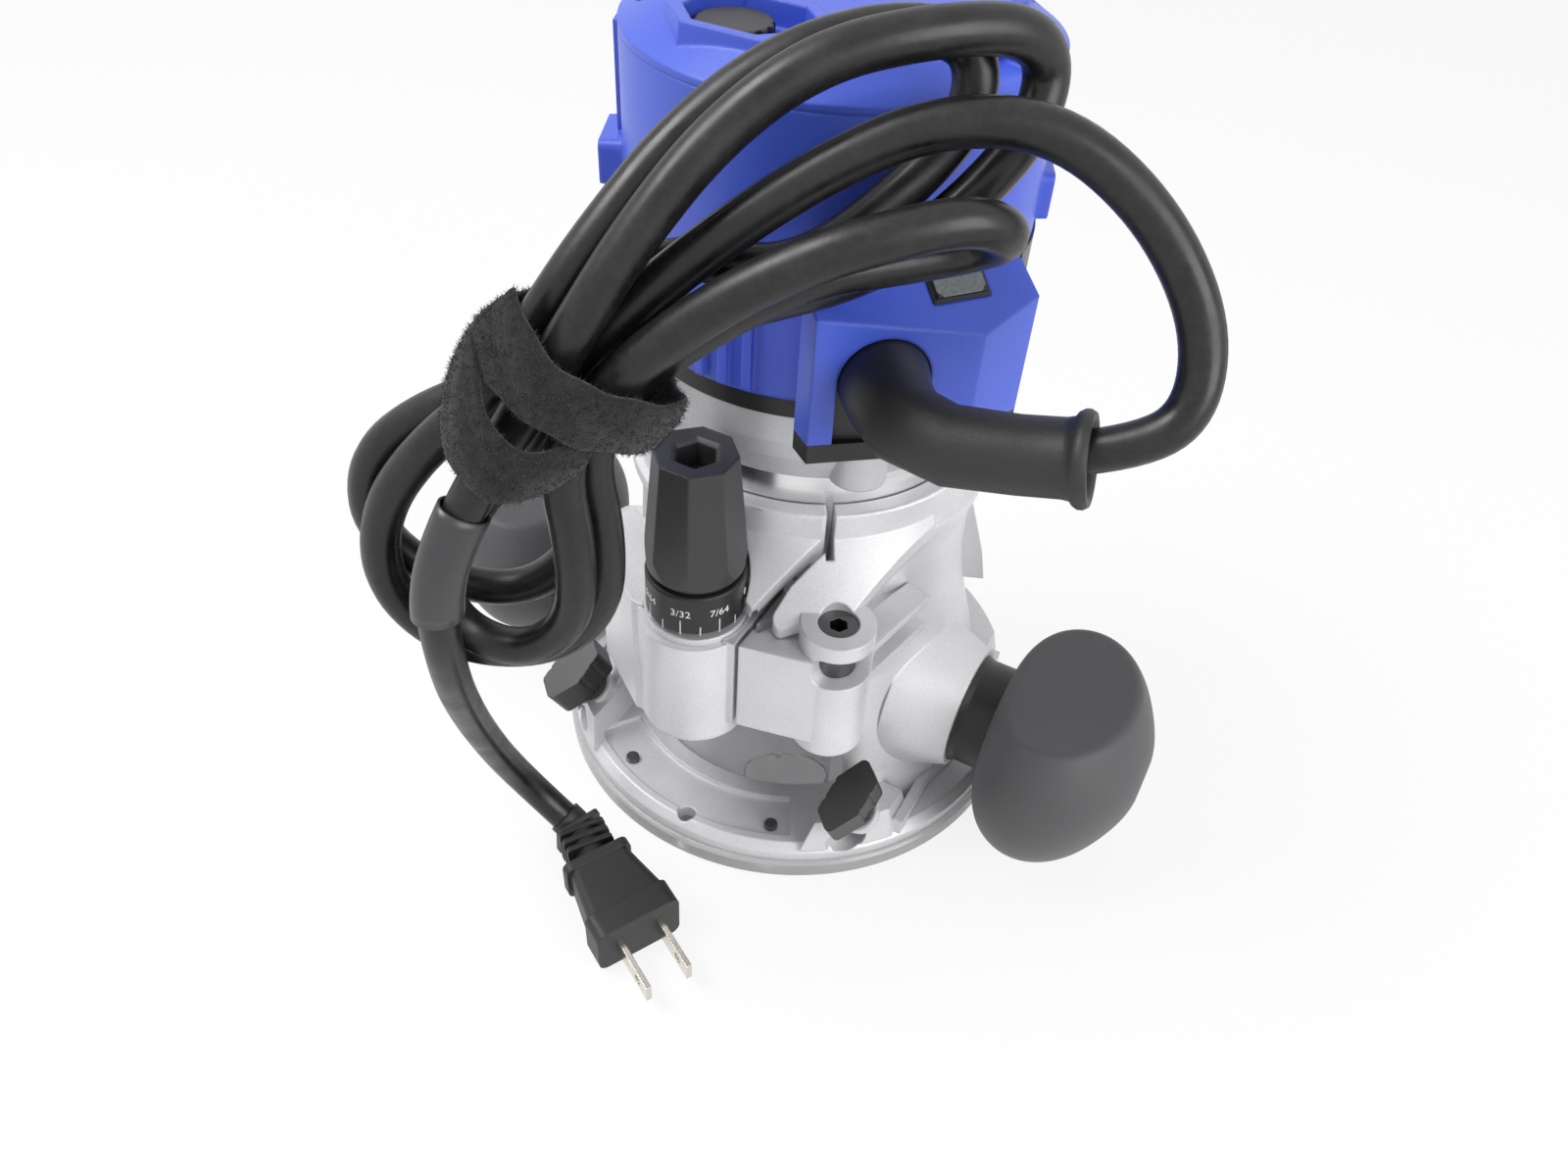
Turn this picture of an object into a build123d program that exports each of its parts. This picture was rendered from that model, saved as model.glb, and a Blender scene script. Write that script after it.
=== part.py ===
"""Fixed-base router: cast base with a clamp collar, side knobs, a screw depth adjuster and a corded motor.

Millimetres. +Z is up, the floor is Z = 0, the spindle is the Z axis, the depth adjuster faces -Y.
"""
import os
from math import acos, cos, degrees, pi, radians, sin, tan

from build123d import *

# ---- driving dimensions --------------------------------------------------------------------------
slide_gap = 0.35            # barrel in collar, radial
turn_gap = 0.06             # turning shafts in their holes, radial
face_gap = 0.3              # flat faces that move past each other

sub_base_r, sub_base_t = 76.2, 6.35
bushing_hole_r, bushing_seat_r, bushing_seat_depth = 15.08, 17.46, 2.3
flange_r, flange_t = 74.6, 6.0
flange_top = sub_base_t + flange_t
chamber_r, opening_r = 42.5, 50.0

barrel_r, barrel_wall = 44.45, 3.2
bore_r = barrel_r + slide_gap
collar_top, collar_r, skirt_r = 123.0, 49.6, 48.6
apron_r, apron_low, apron_high = 69.0, 96.8, 115.2
web_low, web_high = 64.0, 95.0

tower_y, tower_r, tower_low, tower_top = -63.0, 15.5, 56.0, 94.0
arm_low, arm_t = 69.25, 7.5
cavity_low, cavity_top = 60.0, 90.0
screw_r = 4.0
ring_r = 13.2

lug_x, lug_y, lug_r, lug_top = 38.0, -55.0, 10.0, 102.0
clamp_hole_r = 5.5
split_angle = -56.7

rod_x, rod_z, rod_r = 48.5, 14.2, 4.8
block_top, thumb_seat = 22.5, 12.0
thumb_y, thumb_hole_r, thumb_lean = -45.0, 3.0, 28.0
thumb_tip = (rod_r + 0.4 + thumb_hole_r * sin(radians(thumb_lean))) / cos(radians(thumb_lean))

handle_y, handle_z = -9.0, 40.0
boss_x, neck_x, handle_end = 66.0, 76.0, 121.5
handle_r, palm_flat = 36.6, 24.5
handle_bolt_r = 3.0

screw_spots = [(25.5, -60.4), (-25.5, -60.4), (25.5, 60.4), (-25.5, 60.4)]

barrel_low, barrel_top = 58.0, 158.0
bell_low, bell_top = 133.0, 153.0
housing_r, housing_wall, housing_top, cap_rise = 50.5, 3.0, 225.0, 8.0
cap_top = housing_top + cap_rise
band_r = 50.2

shaft_r, bearing_in_r, bearing_out_r = 6.0, 8.5, 17.5
collet_r, collet_out_r, nose_r = 6.35, 8.2, 9.9
rotor_r, stator_in_r = 24.0, 24.8
brush_z, brush_angle = 193.0, 25.0
boss_out = {1: 52.6, -1: 55.6}

cord_r = 4.5


def radial_plane(angle):
    """Vertical plane through the spindle axis: local x points outward at the angle, local y is up."""
    c, s = cos(radians(angle)), sin(radians(angle))
    return Plane(origin=(0, 0, 0), x_dir=(c, s, 0), z_dir=(s, -c, 0))


def thumb_plane(side, height):
    """Plane square to a thumb screw, which leans forward, at a distance up from the guide-rod axis."""
    lean = (0, -sin(radians(thumb_lean)), cos(radians(thumb_lean)))
    foot = Vector(side * rod_x, thumb_y, rod_z)
    return Plane(origin=foot + Vector(*lean) * height, x_dir=(1, 0, 0), z_dir=lean)


def polar(radius, angle):
    return radius * cos(radians(angle)), radius * sin(radians(angle))


def brush_plane(side, out):
    """Plane square to a brush axis, at a distance out from the spindle axis."""
    c, s = polar(side, brush_angle)
    return Plane(origin=(out * c, out * s, brush_z), x_dir=(-s, c, 0), z_dir=(c, s, 0))


os.makedirs("parts", exist_ok=True)


def save(builder, name):
    builder.part.label = name
    export_step(builder.part, f"parts/{name}.step")
    print(name, round(builder.part.volume, 1), "mm3", len(builder.part.solids()), "solid(s)")


# ---- base: sub-base and its screws ---------------------------------------------------------------
with BuildPart() as sub_base:
    with BuildSketch():
        Circle(sub_base_r)
    extrude(amount=sub_base_t)
    chamfer(sub_base.edges().filter_by(GeomType.CIRCLE), length=0.8)
    with BuildSketch():
        Circle(bushing_hole_r)
        with Locations((1, -70)):
            Circle(3.0)
    extrude(amount=sub_base_t, mode=Mode.SUBTRACT)
    with BuildSketch():
        Circle(bushing_seat_r)
    extrude(amount=bushing_seat_depth, mode=Mode.SUBTRACT)
    with BuildSketch():
        with Locations(*screw_spots):
            Circle(2.2)
    extrude(amount=sub_base_t, mode=Mode.SUBTRACT)
    with BuildSketch():
        with Locations(*screw_spots):
            Circle(4.2)
    extrude(amount=3.0, mode=Mode.SUBTRACT)
save(sub_base, "sub_base")

with BuildPart() as sub_base_screws:
    with BuildSketch(Plane.XY.offset(0.6)):
        with Locations(*screw_spots):
            Circle(4.0)
    extrude(amount=2.4)
    with BuildSketch(Plane.XY.offset(2.9)):
        with Locations(*screw_spots):
            Circle(2.0)
    extrude(amount=flange_top - 2.9)
    with BuildSketch(Plane.XY.offset(0.6)):
        with Locations(*screw_spots):
            Rectangle(4.6, 0.9)
            Rectangle(0.9, 4.6)
    extrude(amount=1.3, mode=Mode.SUBTRACT)
save(sub_base_screws, "sub_base_screws")

# ---- base casting --------------------------------------------------------------------------------
def apron_plate(*outline):
    """Part of a cone-shaped sheet that falls away from the collar, cut to a plan outline."""
    with BuildPart() as plate:
        with BuildSketch(Plane.XZ):
            with BuildLine():
                Polyline((46, 110), (46, apron_high), (collar_r, apron_high), (apron_r, apron_low),
                         (apron_r, apron_low - 3.4), (collar_r, 110), (46, 110))
            make_face()
        revolve(axis=Axis.Z)
        with BuildSketch(Plane.XY.offset(apron_low - 10)) as plan:
            with BuildLine():
                Polyline(*outline, close=True)
            make_face()
            fillet(plan.vertices(), radius=2)
        extrude(amount=40, mode=Mode.INTERSECT)
    return plate.part


with BuildPart() as base_casting:
    # flange with a sloped rim
    with BuildSketch(Plane.XY.offset(sub_base_t)):
        Circle(flange_r)
    extrude(amount=flange_t)
    chamfer(base_casting.faces().sort_by(Axis.Z)[-1].edges(), length=2.6)
    # collar, skirt and flared pillars as one turned body
    with BuildSketch(Plane.XZ):
        with BuildLine():
            Polyline((chamber_r - 6, sub_base_t), (65, sub_base_t), (65, 14), (60.5, 26), (57.5, 44),
                     (52.5, 62), (49.4, 80), (skirt_r, 100), (51.5, 109), (51.5, 112.2),
                     (collar_r, 113.6), (collar_r, collar_top), (chamber_r - 6, collar_top),
                     (chamber_r - 6, sub_base_t))
        make_face()
    revolve(axis=Axis.Z)
    fillet(base_casting.edges().filter_by(GeomType.CIRCLE).group_by(Axis.Z)[-1], radius=0.8)
    # windows, front and back, between the pillars
    with BuildSketch(Plane.XZ):
        with BuildLine():
            Polyline((-42.4, flange_top), (-40, 34), (-33, web_low - 4), (-22, web_low), (24, web_low),
                     (33, web_low - 4), (40, 34), (42.4, flange_top), (-42.4, flange_top))
        make_face()
    extrude(amount=100, both=True, mode=Mode.SUBTRACT)
    # sloping plates under the collar, each side of the split
    add(apron_plate((26, -39), (21.5, -61.5), (24.5, -62.5), (39.5, -49.5), (48, -18), (43, -16)))
    add(apron_plate((-16, -42), (-20, -46), (-14, -56), (10, -60), (18, -62.5), (27, -39)))
    for low in (80, 90.5):
        with BuildSketch(Plane.XY.offset(low)):
            with BuildLine():
                Polyline((38, -44), (46.5, -50), (51.5, -24), (44, -22), close=True)
            make_face()
        extrude(amount=2.4)
    # depth tower
    with BuildSketch(Plane.XY.offset(tower_low)):
        with Locations((0, tower_y)):
            Circle(tower_r)
        with Locations((0, tower_y + 9)):
            Rectangle(2 * tower_r, 18)
    extrude(amount=tower_top - tower_low)
    fillet(base_casting.faces().filter_by(Axis.Z).group_by(Axis.Z)[2].edges().filter_by(GeomType.CIRCLE)
           .filter_by_position(Axis.Y, -100, tower_y - 1), radius=3.0)
    # web from the tower to the clamp lug, and web from the tower to the left pillar
    with BuildSketch(Plane.XY.offset(web_low)):
        with BuildLine():
            Polyline((12, -46), (12, -70), (16, -70), (lug_x, lug_y - lug_r), (lug_x + 6, -52),
                     (lug_x + 2, -40), (12, -46))
        make_face()
    extrude(amount=web_high - web_low)
    with BuildSketch(Plane.XY.offset(web_low - 12)):
        with BuildLine():
            Polyline((-12, -46), (-12, -70), (-16, -70), (-36, -56), (-43, -44), (-36, -38), (-12, -46))
        make_face()
    extrude(amount=web_high - web_low + 12)
    # clamp lug
    with BuildSketch(Plane.XY.offset(web_low - 4)):
        with Locations((lug_x, lug_y)):
            Circle(lug_r)
    extrude(amount=lug_top - web_low + 4)
    with BuildSketch(Plane.XY.offset(web_low + 6)):
        with Locations((lug_x, lug_y)):
            Circle(clamp_hole_r)
    extrude(amount=lug_top - web_low, mode=Mode.SUBTRACT)
    with BuildSketch(Plane(origin=(lug_x + 9, lug_y - 12, 92), x_dir=(1, 0, 0), z_dir=(0, -1, 0))):
        RectangleRounded(22, 10, 3.5)
    extrude(amount=-14, mode=Mode.SUBTRACT)
    # handle bosses on the pillars
    for side in (1, -1):
        with BuildSketch(Plane(origin=(side * 46, handle_y, handle_z), x_dir=(0, 1, 0), z_dir=(side, 0, 0))):
            Circle(26.0)
        extrude(amount=boss_x - 46, taper=19)
    # guide-rod blocks
    with BuildSketch(Plane.XY.offset(flange_top - 1)):
        with Locations((rod_x, 0), (-rod_x, 0)):
            Rectangle(22, 140)
        Circle(flange_r, mode=Mode.INTERSECT)
        Rectangle(160, 66, mode=Mode.SUBTRACT)
    extrude(amount=block_top - flange_top + 1, taper=12)
    # seats of the leaning thumb screws
    for side in (1, -1):
        with BuildSketch(thumb_plane(side, rod_r + 1)):
            Circle(7.0)
        extrude(amount=thumb_seat - rod_r - 1)
    # stiffening ribs on the flange and up the pillars
    for side in (1, -1):
        with Locations((side * 60, -26, flange_top + 2)):
            Box(3, 34, 6)
        with Locations((side * 60, 24, flange_top + 2)):
            Box(3, 34, 6)
        for angle in (24, 36):
            with BuildSketch(radial_plane(angle if side > 0 else 180 - angle)):
                with BuildLine():
                    Polyline((46.5, 64), (58.5, 64), (56.5, 74), (skirt_r + 0.4, 98), (46.5, 98), (46.5, 64))
                make_face()
            extrude(amount=1.5, both=True)
    # shallow pocket in the flange, in front of the opening
    with BuildSketch(radial_plane(-126)):
        with Locations((62.5, flange_top)):
            Rectangle(14, 3.2)
    revolve(axis=Axis.Z, revolution_arc=64, mode=Mode.SUBTRACT)
    # motor bore, bit chamber and the opening for the chip shield
    with BuildSketch(Plane.XY.offset(26)):
        Circle(bore_r)
    extrude(amount=collar_top, mode=Mode.SUBTRACT)
    with BuildSketch():
        Circle(chamber_r)
    extrude(amount=40, mode=Mode.SUBTRACT)
    with BuildSketch():
        Circle(opening_r)
        with Locations((0, -50)):
            Rectangle(74, 64, mode=Mode.INTERSECT)
    extrude(amount=flange_top + 1, mode=Mode.SUBTRACT)
    # tower cavity for the depth arm and the hole for its screw
    with Locations((0, (tower_y - 9.5 - bore_r + 3) / 2, (cavity_low + cavity_top) / 2)):
        Box(17, tower_y * -1 + 9.5 - bore_r + 3, cavity_top - cavity_low, mode=Mode.SUBTRACT)
    with BuildSketch(Plane.XY.offset(cavity_top - 1)):
        with Locations((0, tower_y)):
            Circle(screw_r + turn_gap)
    extrude(amount=10, mode=Mode.SUBTRACT)
    # room for the scale ring and knob above the tower
    with BuildSketch(Plane.XY.offset(tower_top)):
        with Locations((0, tower_y)):
            Circle(ring_r + 0.8)
    extrude(amount=40, mode=Mode.SUBTRACT)
    # split of the collar: down through the rim, slanting between the plates, then a seam beside the tower
    with BuildSketch(Plane.XY.offset(99)):
        with Locations(Location((*polar(48, split_angle), 0), split_angle)):
            Rectangle(11, 2.3)
    extrude(amount=30, mode=Mode.SUBTRACT)
    with BuildSketch(Plane.XY.offset(web_high - 1)):
        with BuildLine():
            Polyline((16.2, -62), (18.8, -63), (28.4, -42.4), (26.0, -41.3), close=True)
        make_face()
    extrude(amount=30, mode=Mode.SUBTRACT)
    with Locations((21.5, -44, 100)):
        Box(12, 14, 1.2, mode=Mode.SUBTRACT)
    with Locations((16.4, -56, 78)):
        Box(1.2, 36, 44.6, mode=Mode.SUBTRACT)
    # guide-rod holes, thumb-screw holes, handle bolt holes, screw holes, key hole
    with BuildSketch(Plane.XZ.offset(90)):
        with Locations((rod_x, rod_z), (-rod_x, rod_z)):
            Circle(rod_r)
    extrude(amount=-180, mode=Mode.SUBTRACT)
    for side in (1, -1):
        with BuildSketch(thumb_plane(side, 0)):
            Circle(thumb_hole_r)
        extrude(amount=thumb_seat + 1, mode=Mode.SUBTRACT)
    with BuildSketch(Plane(origin=(boss_x - 18, handle_y, handle_z), x_dir=(0, 1, 0), z_dir=(1, 0, 0))):
        Circle(handle_bolt_r)
    extrude(amount=30, mode=Mode.SUBTRACT)
    with BuildSketch(Plane(origin=(18 - boss_x, handle_y, handle_z), x_dir=(0, 1, 0), z_dir=(-1, 0, 0))):
        Circle(handle_bolt_r)
    extrude(amount=30, mode=Mode.SUBTRACT)
    with BuildSketch():
        with Locations(*screw_spots):
            Circle(2.0)
        with Locations((1, -70)):
            Circle(3.0)
        with Locations((-44.6, -52.4)):
            Circle(2.4)
    extrude(amount=flange_top + 1, mode=Mode.SUBTRACT)
save(base_casting, "base_casting")

# ---- chip shield ---------------------------------------------------------------------------------
shield_top, shield_t = 43.0, 1.6
with BuildPart() as chip_shield:
    with BuildSketch(radial_plane(-134)):
        with Locations((opening_r - shield_t / 2, (sub_base_t + shield_top) / 2)):
            Rectangle(shield_t, shield_top - sub_base_t)
    revolve(axis=Axis.Z, revolution_arc=86)
    with BuildSketch(radial_plane(-68.2)):
        with Locations((opening_r + 0.5, 32)):
            Rectangle(1.4, 18)
    revolve(axis=Axis.Z, revolution_arc=2.4)
    with BuildSketch(Plane(origin=(0, 0, 0), x_dir=(*polar(1, 26), 0), z_dir=(*polar(1, -64), 0))):
        with Locations((0, 14)):
            Rectangle(26, 1)
            Circle(13)
    extrude(amount=90, mode=Mode.SUBTRACT)
save(chip_shield, "chip_shield")

# ---- handles -------------------------------------------------------------------------------------
handle_plane = {1: Plane(origin=(0, handle_y, handle_z), x_dir=(1, 0, 0), z_dir=(0, -1, 0)),
                -1: Plane(origin=(0, handle_y, handle_z), x_dir=(-1, 0, 0), z_dir=(0, 1, 0))}
handle_axis = Axis((0, handle_y, handle_z), (1, 0, 0))


def handle_knob(side):
    """Round knob with a flat for the palm on top and a sunk bolt hole in the end."""
    with BuildPart() as knob:
        with BuildSketch(handle_plane[side]):
            with BuildLine():
                Polyline((handle_end, 6.5), (handle_end - 6, 6.5), (handle_end - 6, handle_bolt_r),
                         (neck_x, handle_bolt_r), (neck_x, 17))
                Spline((neck_x, 17), (neck_x + 2, 25.5), (neck_x + 6.5, 32), (neck_x + 13, 35.8),
                       (neck_x + 19, handle_r), (neck_x + 27, 34.4), (neck_x + 35, 28.2), (neck_x + 41, 19.5),
                       (handle_end - 1, 11.5), (handle_end, 6.5))
            make_face()
        revolve(axis=handle_axis)
        with Locations(Location((side * (neck_x + 19), handle_y, handle_z + palm_flat + 40), (0, side * -6, 0))):
            Box(80, 90, 80, mode=Mode.SUBTRACT)
        fillet(knob.faces().sort_by(Axis.Z)[-1].edges(), radius=3.5)
    return knob


handle_right = handle_knob(1)
save(handle_right, "handle_right")
handle_left = handle_knob(-1)
save(handle_left, "handle_left")

with BuildPart() as handle_necks:
    for side in (1, -1):
        with BuildSketch(handle_plane[side]):
            with BuildLine():
                Polyline((boss_x, handle_bolt_r), (boss_x, 17.5), (boss_x + 2, 16.6), (neck_x, 16.6),
                         (neck_x, handle_bolt_r), (boss_x, handle_bolt_r))
            make_face()
        revolve(axis=handle_axis)
save(handle_necks, "handle_necks")

with BuildPart() as handle_bolts:
    for side in (1, -1):
        with BuildSketch(handle_plane[side]):
            with BuildLine():
                Polyline((boss_x - 14, 0), (boss_x - 14, handle_bolt_r), (handle_end - 6, handle_bolt_r),
                         (handle_end - 6, 6.0), (handle_end - 3, 6.0), (handle_end - 3, 2.4),
                         (handle_end - 5.4, 2.4), (handle_end - 5.4, 0), (boss_x - 14, 0))
            make_face()
        revolve(axis=handle_axis)
save(handle_bolts, "handle_bolts")

# ---- depth adjuster ------------------------------------------------------------------------------
index_top = tower_top + 2.2
ring_low, ring_top = index_top + face_gap, 110.0
hub_r, ring_in_r = 6.0, 6.0 + turn_gap
knob_top = 146.0
knob_plane = Plane(origin=(0, tower_y, 0), x_dir=(1, 0, 0), z_dir=(0, -1, 0))

with BuildPart() as index_ring:
    with BuildSketch(Plane.XY.offset(tower_top)):
        with Locations((0, tower_y)):
            Circle(ring_r + 0.6)
            Circle(screw_r + 0.6, mode=Mode.SUBTRACT)
    extrude(amount=index_top - tower_top)
    with Locations((-7.6, tower_y - 9.2, index_top)):
        Cylinder(0.9, 2.4)
save(index_ring, "index_ring")

with BuildPart() as depth_scale_ring:
    with BuildSketch(Plane.XY.offset(ring_low)):
        with Locations((0, tower_y)):
            Circle(ring_r)
    extrude(amount=ring_top - ring_low)
    chamfer(depth_scale_ring.faces().sort_by(Axis.Z)[-1].edges(), length=0.5)
    with BuildSketch(Plane.XY.offset(ring_low)):
        with Locations((0, tower_y)):
            Circle(ring_in_r)
    extrude(amount=ring_top - ring_low, mode=Mode.SUBTRACT)
    with Locations((-7.6, tower_y - 9.2, ring_low)):
        Cylinder(1.6, 3.6, mode=Mode.SUBTRACT)
    with BuildSketch(Plane.XY.offset(ring_low)):
        with Locations((0, tower_y)):
            Circle(ring_r + 1)
            Circle(ring_r - 3.6, mode=Mode.SUBTRACT)
    extrude(amount=1.6, mode=Mode.SUBTRACT)
save(depth_scale_ring, "depth_scale_ring")

with BuildPart() as depth_knob:
    with BuildSketch(Plane.XY.offset(ring_low)):
        with Locations((0, tower_y)):
            Circle(hub_r)
    extrude(amount=ring_top - ring_low + face_gap)
    with BuildSketch(knob_plane):
        with BuildLine():
            Polyline((hub_r, ring_top + face_gap), (11.6, ring_top + face_gap), (12.7, ring_top + 2),
                     (ring_r, ring_top + 7), (ring_r, ring_top + 13), (12.5, knob_top - 12), (11.7, knob_top - 4),
                     (11.7, knob_top - 0.8), (10.6, knob_top), (0, knob_top), (0, ring_top + face_gap),
                     (hub_r, ring_top + face_gap))
        make_face()
    revolve(axis=Axis((0, tower_y, 0), (0, 0, 1)))
    with BuildSketch(Plane.XY.offset(ring_low)):
        with Locations((0, tower_y)):
            RegularPolygon(ring_r + 0.9, 8, rotation=22.5, major_radius=False)
    extrude(amount=knob_top - ring_low, taper=5, mode=Mode.INTERSECT)
    with BuildSketch(Plane.XY.offset(knob_top)):
        with Locations((0, tower_y)):
            RegularPolygon(5.4, 6)
    extrude(amount=-8, mode=Mode.SUBTRACT)
    chamfer(depth_knob.faces().filter_by(Axis.Z).sort_by(Axis.Z)[-1].inner_wires()[0].edges(), length=1.0)
    with BuildSketch(Plane.XY.offset(ring_low)):
        with Locations((0, tower_y)):
            Circle(screw_r)
    extrude(amount=24, mode=Mode.SUBTRACT)
save(depth_knob, "depth_knob")

with BuildPart() as depth_screw:
    with BuildSketch(Plane.XY.offset(cavity_low + 1)):
        with Locations((0, tower_y)):
            Circle(screw_r)
    extrude(amount=ring_low + 24 - cavity_low - 1)
    chamfer(depth_screw.edges().filter_by(GeomType.CIRCLE), length=0.6)
save(depth_screw, "depth_screw")

# ---- clamp spindle and guide-rod thumb screws ----------------------------------------------------
with BuildPart() as clamp_spindle:
    with BuildSketch(Plane.XY.offset(web_low + 6)):
        with Locations((lug_x, lug_y)):
            Circle(clamp_hole_r - turn_gap)
    extrude(amount=lug_top - web_low - 6.8)
    with BuildSketch(Plane.XY.offset(lug_top - 0.8)):
        with Locations((lug_x, lug_y)):
            RegularPolygon(2.6, 6)
    extrude(amount=-6, mode=Mode.SUBTRACT)
save(clamp_spindle, "clamp_spindle")


def thumb_screw(side):
    with BuildPart() as thumb:
        with BuildSketch(thumb_plane(side, thumb_tip)):
            Circle(thumb_hole_r - turn_gap)
        extrude(amount=thumb_seat + 0.4 - thumb_tip)
        with BuildSketch(thumb_plane(side, thumb_seat + face_gap)):
            Circle(6.0)
        extrude(amount=4)
        with BuildSketch(thumb_plane(side, thumb_seat + face_gap + 2.5)) as wing:
            with Locations(Location((0, 0, 0), 82)):
                Polygon((-12.5, -1), (-8, 5.2), (3, 5.6), (12.5, 1.5), (8, -5.2), (-3, -5.6))
            fillet(wing.vertices(), radius=1.8)
        extrude(amount=15)
        with BuildSketch(thumb_plane(side, thumb_seat + face_gap + 3)):
            with Locations(Location((0, 0, 0), 82)):
                with Locations((-7, -6.4), (-1.5, -6.8), (4, -6.6), (7, 6.4), (1.5, 6.8), (-4, 6.6)):
                    Circle(1.5)
        extrude(amount=20, mode=Mode.SUBTRACT)
    return thumb


guide_screw_right = thumb_screw(1)
save(guide_screw_right, "guide_screw_right")
guide_screw_left = thumb_screw(-1)
save(guide_screw_left, "guide_screw_left")

# ---- motor: barrel, bell, band -------------------------------------------------------------------
barrel_in_r = barrel_r - barrel_wall
seat_low, seat_top = barrel_low + 4, barrel_low + 16
with BuildPart() as motor_barrel:
    with BuildSketch(Plane.XZ):
        with BuildLine():
            Polyline((12.5, barrel_low), (barrel_r - 1.5, barrel_low), (barrel_r, barrel_low + 1.5),
                     (barrel_r, barrel_top), (barrel_in_r, barrel_top), (barrel_in_r, barrel_low + 6),
                     (22, barrel_low + 6), (22, seat_top), (bearing_out_r, seat_top), (bearing_out_r, seat_low),
                     (12.5, seat_low), (12.5, barrel_low))
        make_face()
    revolve(axis=Axis.Z)
    with BuildSketch(Plane.XY.offset(barrel_low)):
        with PolarLocations(31, 6):
            Circle(4.5)
    extrude(amount=8, mode=Mode.SUBTRACT)
save(motor_barrel, "motor_barrel")

bell_lobes = [-49, 41, 131, 221]
with BuildPart() as motor_bell:
    with BuildSketch(Plane.XZ):
        with BuildLine():
            Polyline((barrel_r, bell_low), (46.6, bell_low), (49.2, bell_low + 7), (50.0, bell_low + 12),
                     (50.0, bell_top), (barrel_r, bell_top), (barrel_r, bell_low))
        make_face()
    revolve(axis=Axis.Z)
    with BuildSketch(Plane.XY.offset(bell_low)):
        with PolarLocations(45.2, 4, start_angle=bell_lobes[0]):
            Circle(7.5)
        Circle(barrel_r, mode=Mode.SUBTRACT)
    extrude(amount=bell_top - bell_low)
save(motor_bell, "motor_bell")

bulge_points = [(16, -40), (22.5, -57.5), (28, -61.5), (57, -38), (62.5, -22), (46, -12)]
with BuildPart() as housing_band:
    with BuildSketch(Plane.XY.offset(bell_top)):
        Circle(band_r)
        with BuildLine():
            Polyline(*bulge_points, close=True)
        make_face()
        Circle(barrel_r, mode=Mode.SUBTRACT)
    extrude(amount=barrel_top - bell_top)
save(housing_band, "housing_band")

# ---- motor: housing ------------------------------------------------------------------------------
bulge_top = 195.5
boot_root = Vector(38.5, -48.5, 174.0)
boot_out = Vector(0.56, -0.829, 0)
boot_plane = Plane(origin=boot_root, x_dir=(0.829, 0.56, 0), z_dir=boot_out)
lens_plane = Plane(origin=(47.0, -33.2, 191.5), x_dir=(0.62, 0.785, 0), z_dir=(0.43, -0.336, 0.838))
floor_in_r, housing_in_r = 38.0, housing_r - housing_wall
with BuildPart() as motor_housing:
    with BuildSketch(Plane.XY.offset(barrel_top)):
        Circle(housing_r)
    extrude(amount=housing_top - barrel_top)
    with BuildSketch(Plane.XY.offset(barrel_top)):
        with BuildLine():
            Polyline(*bulge_points, close=True)
        make_face()
    extrude(amount=bulge_top - barrel_top)
    # sloped top of the cord bulge
    with BuildSketch(radial_plane(-38)):
        with BuildLine():
            Polyline((housing_r + 0.2, bulge_top + 1), (housing_r + 0.2, bulge_top), (78, bulge_top - 17.8),
                     (78, bulge_top + 1), (housing_r + 0.2, bulge_top + 1))
        make_face()
    extrude(amount=60, both=True, mode=Mode.SUBTRACT)
    # brush bosses on the two sides
    for side in (1, -1):
        with BuildSketch(brush_plane(side, 40)):
            RectangleRounded(21, 13.5, 3)
        extrude(amount=boss_out[side] - 40, taper=5)
    # air-slot ribs and a screw boss low on the front
    for angle in (-104, -97, -90, -83):
        with BuildSketch(radial_plane(angle)):
            with Locations((housing_r + 0.2, barrel_top + 11)):
                Rectangle(2.4, 20)
        extrude(amount=1.2, both=True)
    with BuildSketch(radial_plane(-112)):
        with BuildLine():
            Polyline((47.6, barrel_top), (57, barrel_top), (57, barrel_top + 10), (50, barrel_top + 18),
                     (47.6, barrel_top + 18), (47.6, barrel_top))
        make_face()
    extrude(amount=6, both=True)
    # upright rib on the left side
    with BuildSketch(radial_plane(203)):
        with Locations((housing_r, (barrel_top + 8 + housing_top - 1) / 2)):
            Rectangle(2.2, housing_top - barrel_top - 9)
    extrude(amount=5, both=True)
    # inside
    with BuildSketch(Plane.XY.offset(barrel_top + 3)):
        Circle(housing_in_r)
    extrude(amount=housing_top, mode=Mode.SUBTRACT)
    with BuildSketch(Plane.XY.offset(barrel_top)):
        Circle(floor_in_r)
    extrude(amount=4, mode=Mode.SUBTRACT)
    # arched recess for the cord boot, light-lens seat, brush-cap holes, label seat, switch hole
    with BuildSketch(boot_plane):
        Circle(10.4)
        with Locations((0, -9)):
            Rectangle(20.8, 15)
    extrude(amount=30, mode=Mode.SUBTRACT)
    with BuildSketch(lens_plane):
        Rectangle(14, 8.6)
    extrude(amount=-1.6, mode=Mode.SUBTRACT)
    with BuildSketch(lens_plane):
        Rectangle(14, 8.6)
    extrude(amount=12, mode=Mode.SUBTRACT)
    with BuildSketch(brush_plane(1, -70)):
        Circle(4.6)
    extrude(amount=140, mode=Mode.SUBTRACT)
    with BuildSketch(Plane(origin=(0, 40, 198), x_dir=(1, 0, 0), z_dir=(0, 1, 0))):
        Rectangle(22, 14)
    extrude(amount=20, mode=Mode.SUBTRACT)
save(motor_housing, "motor_housing")

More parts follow.
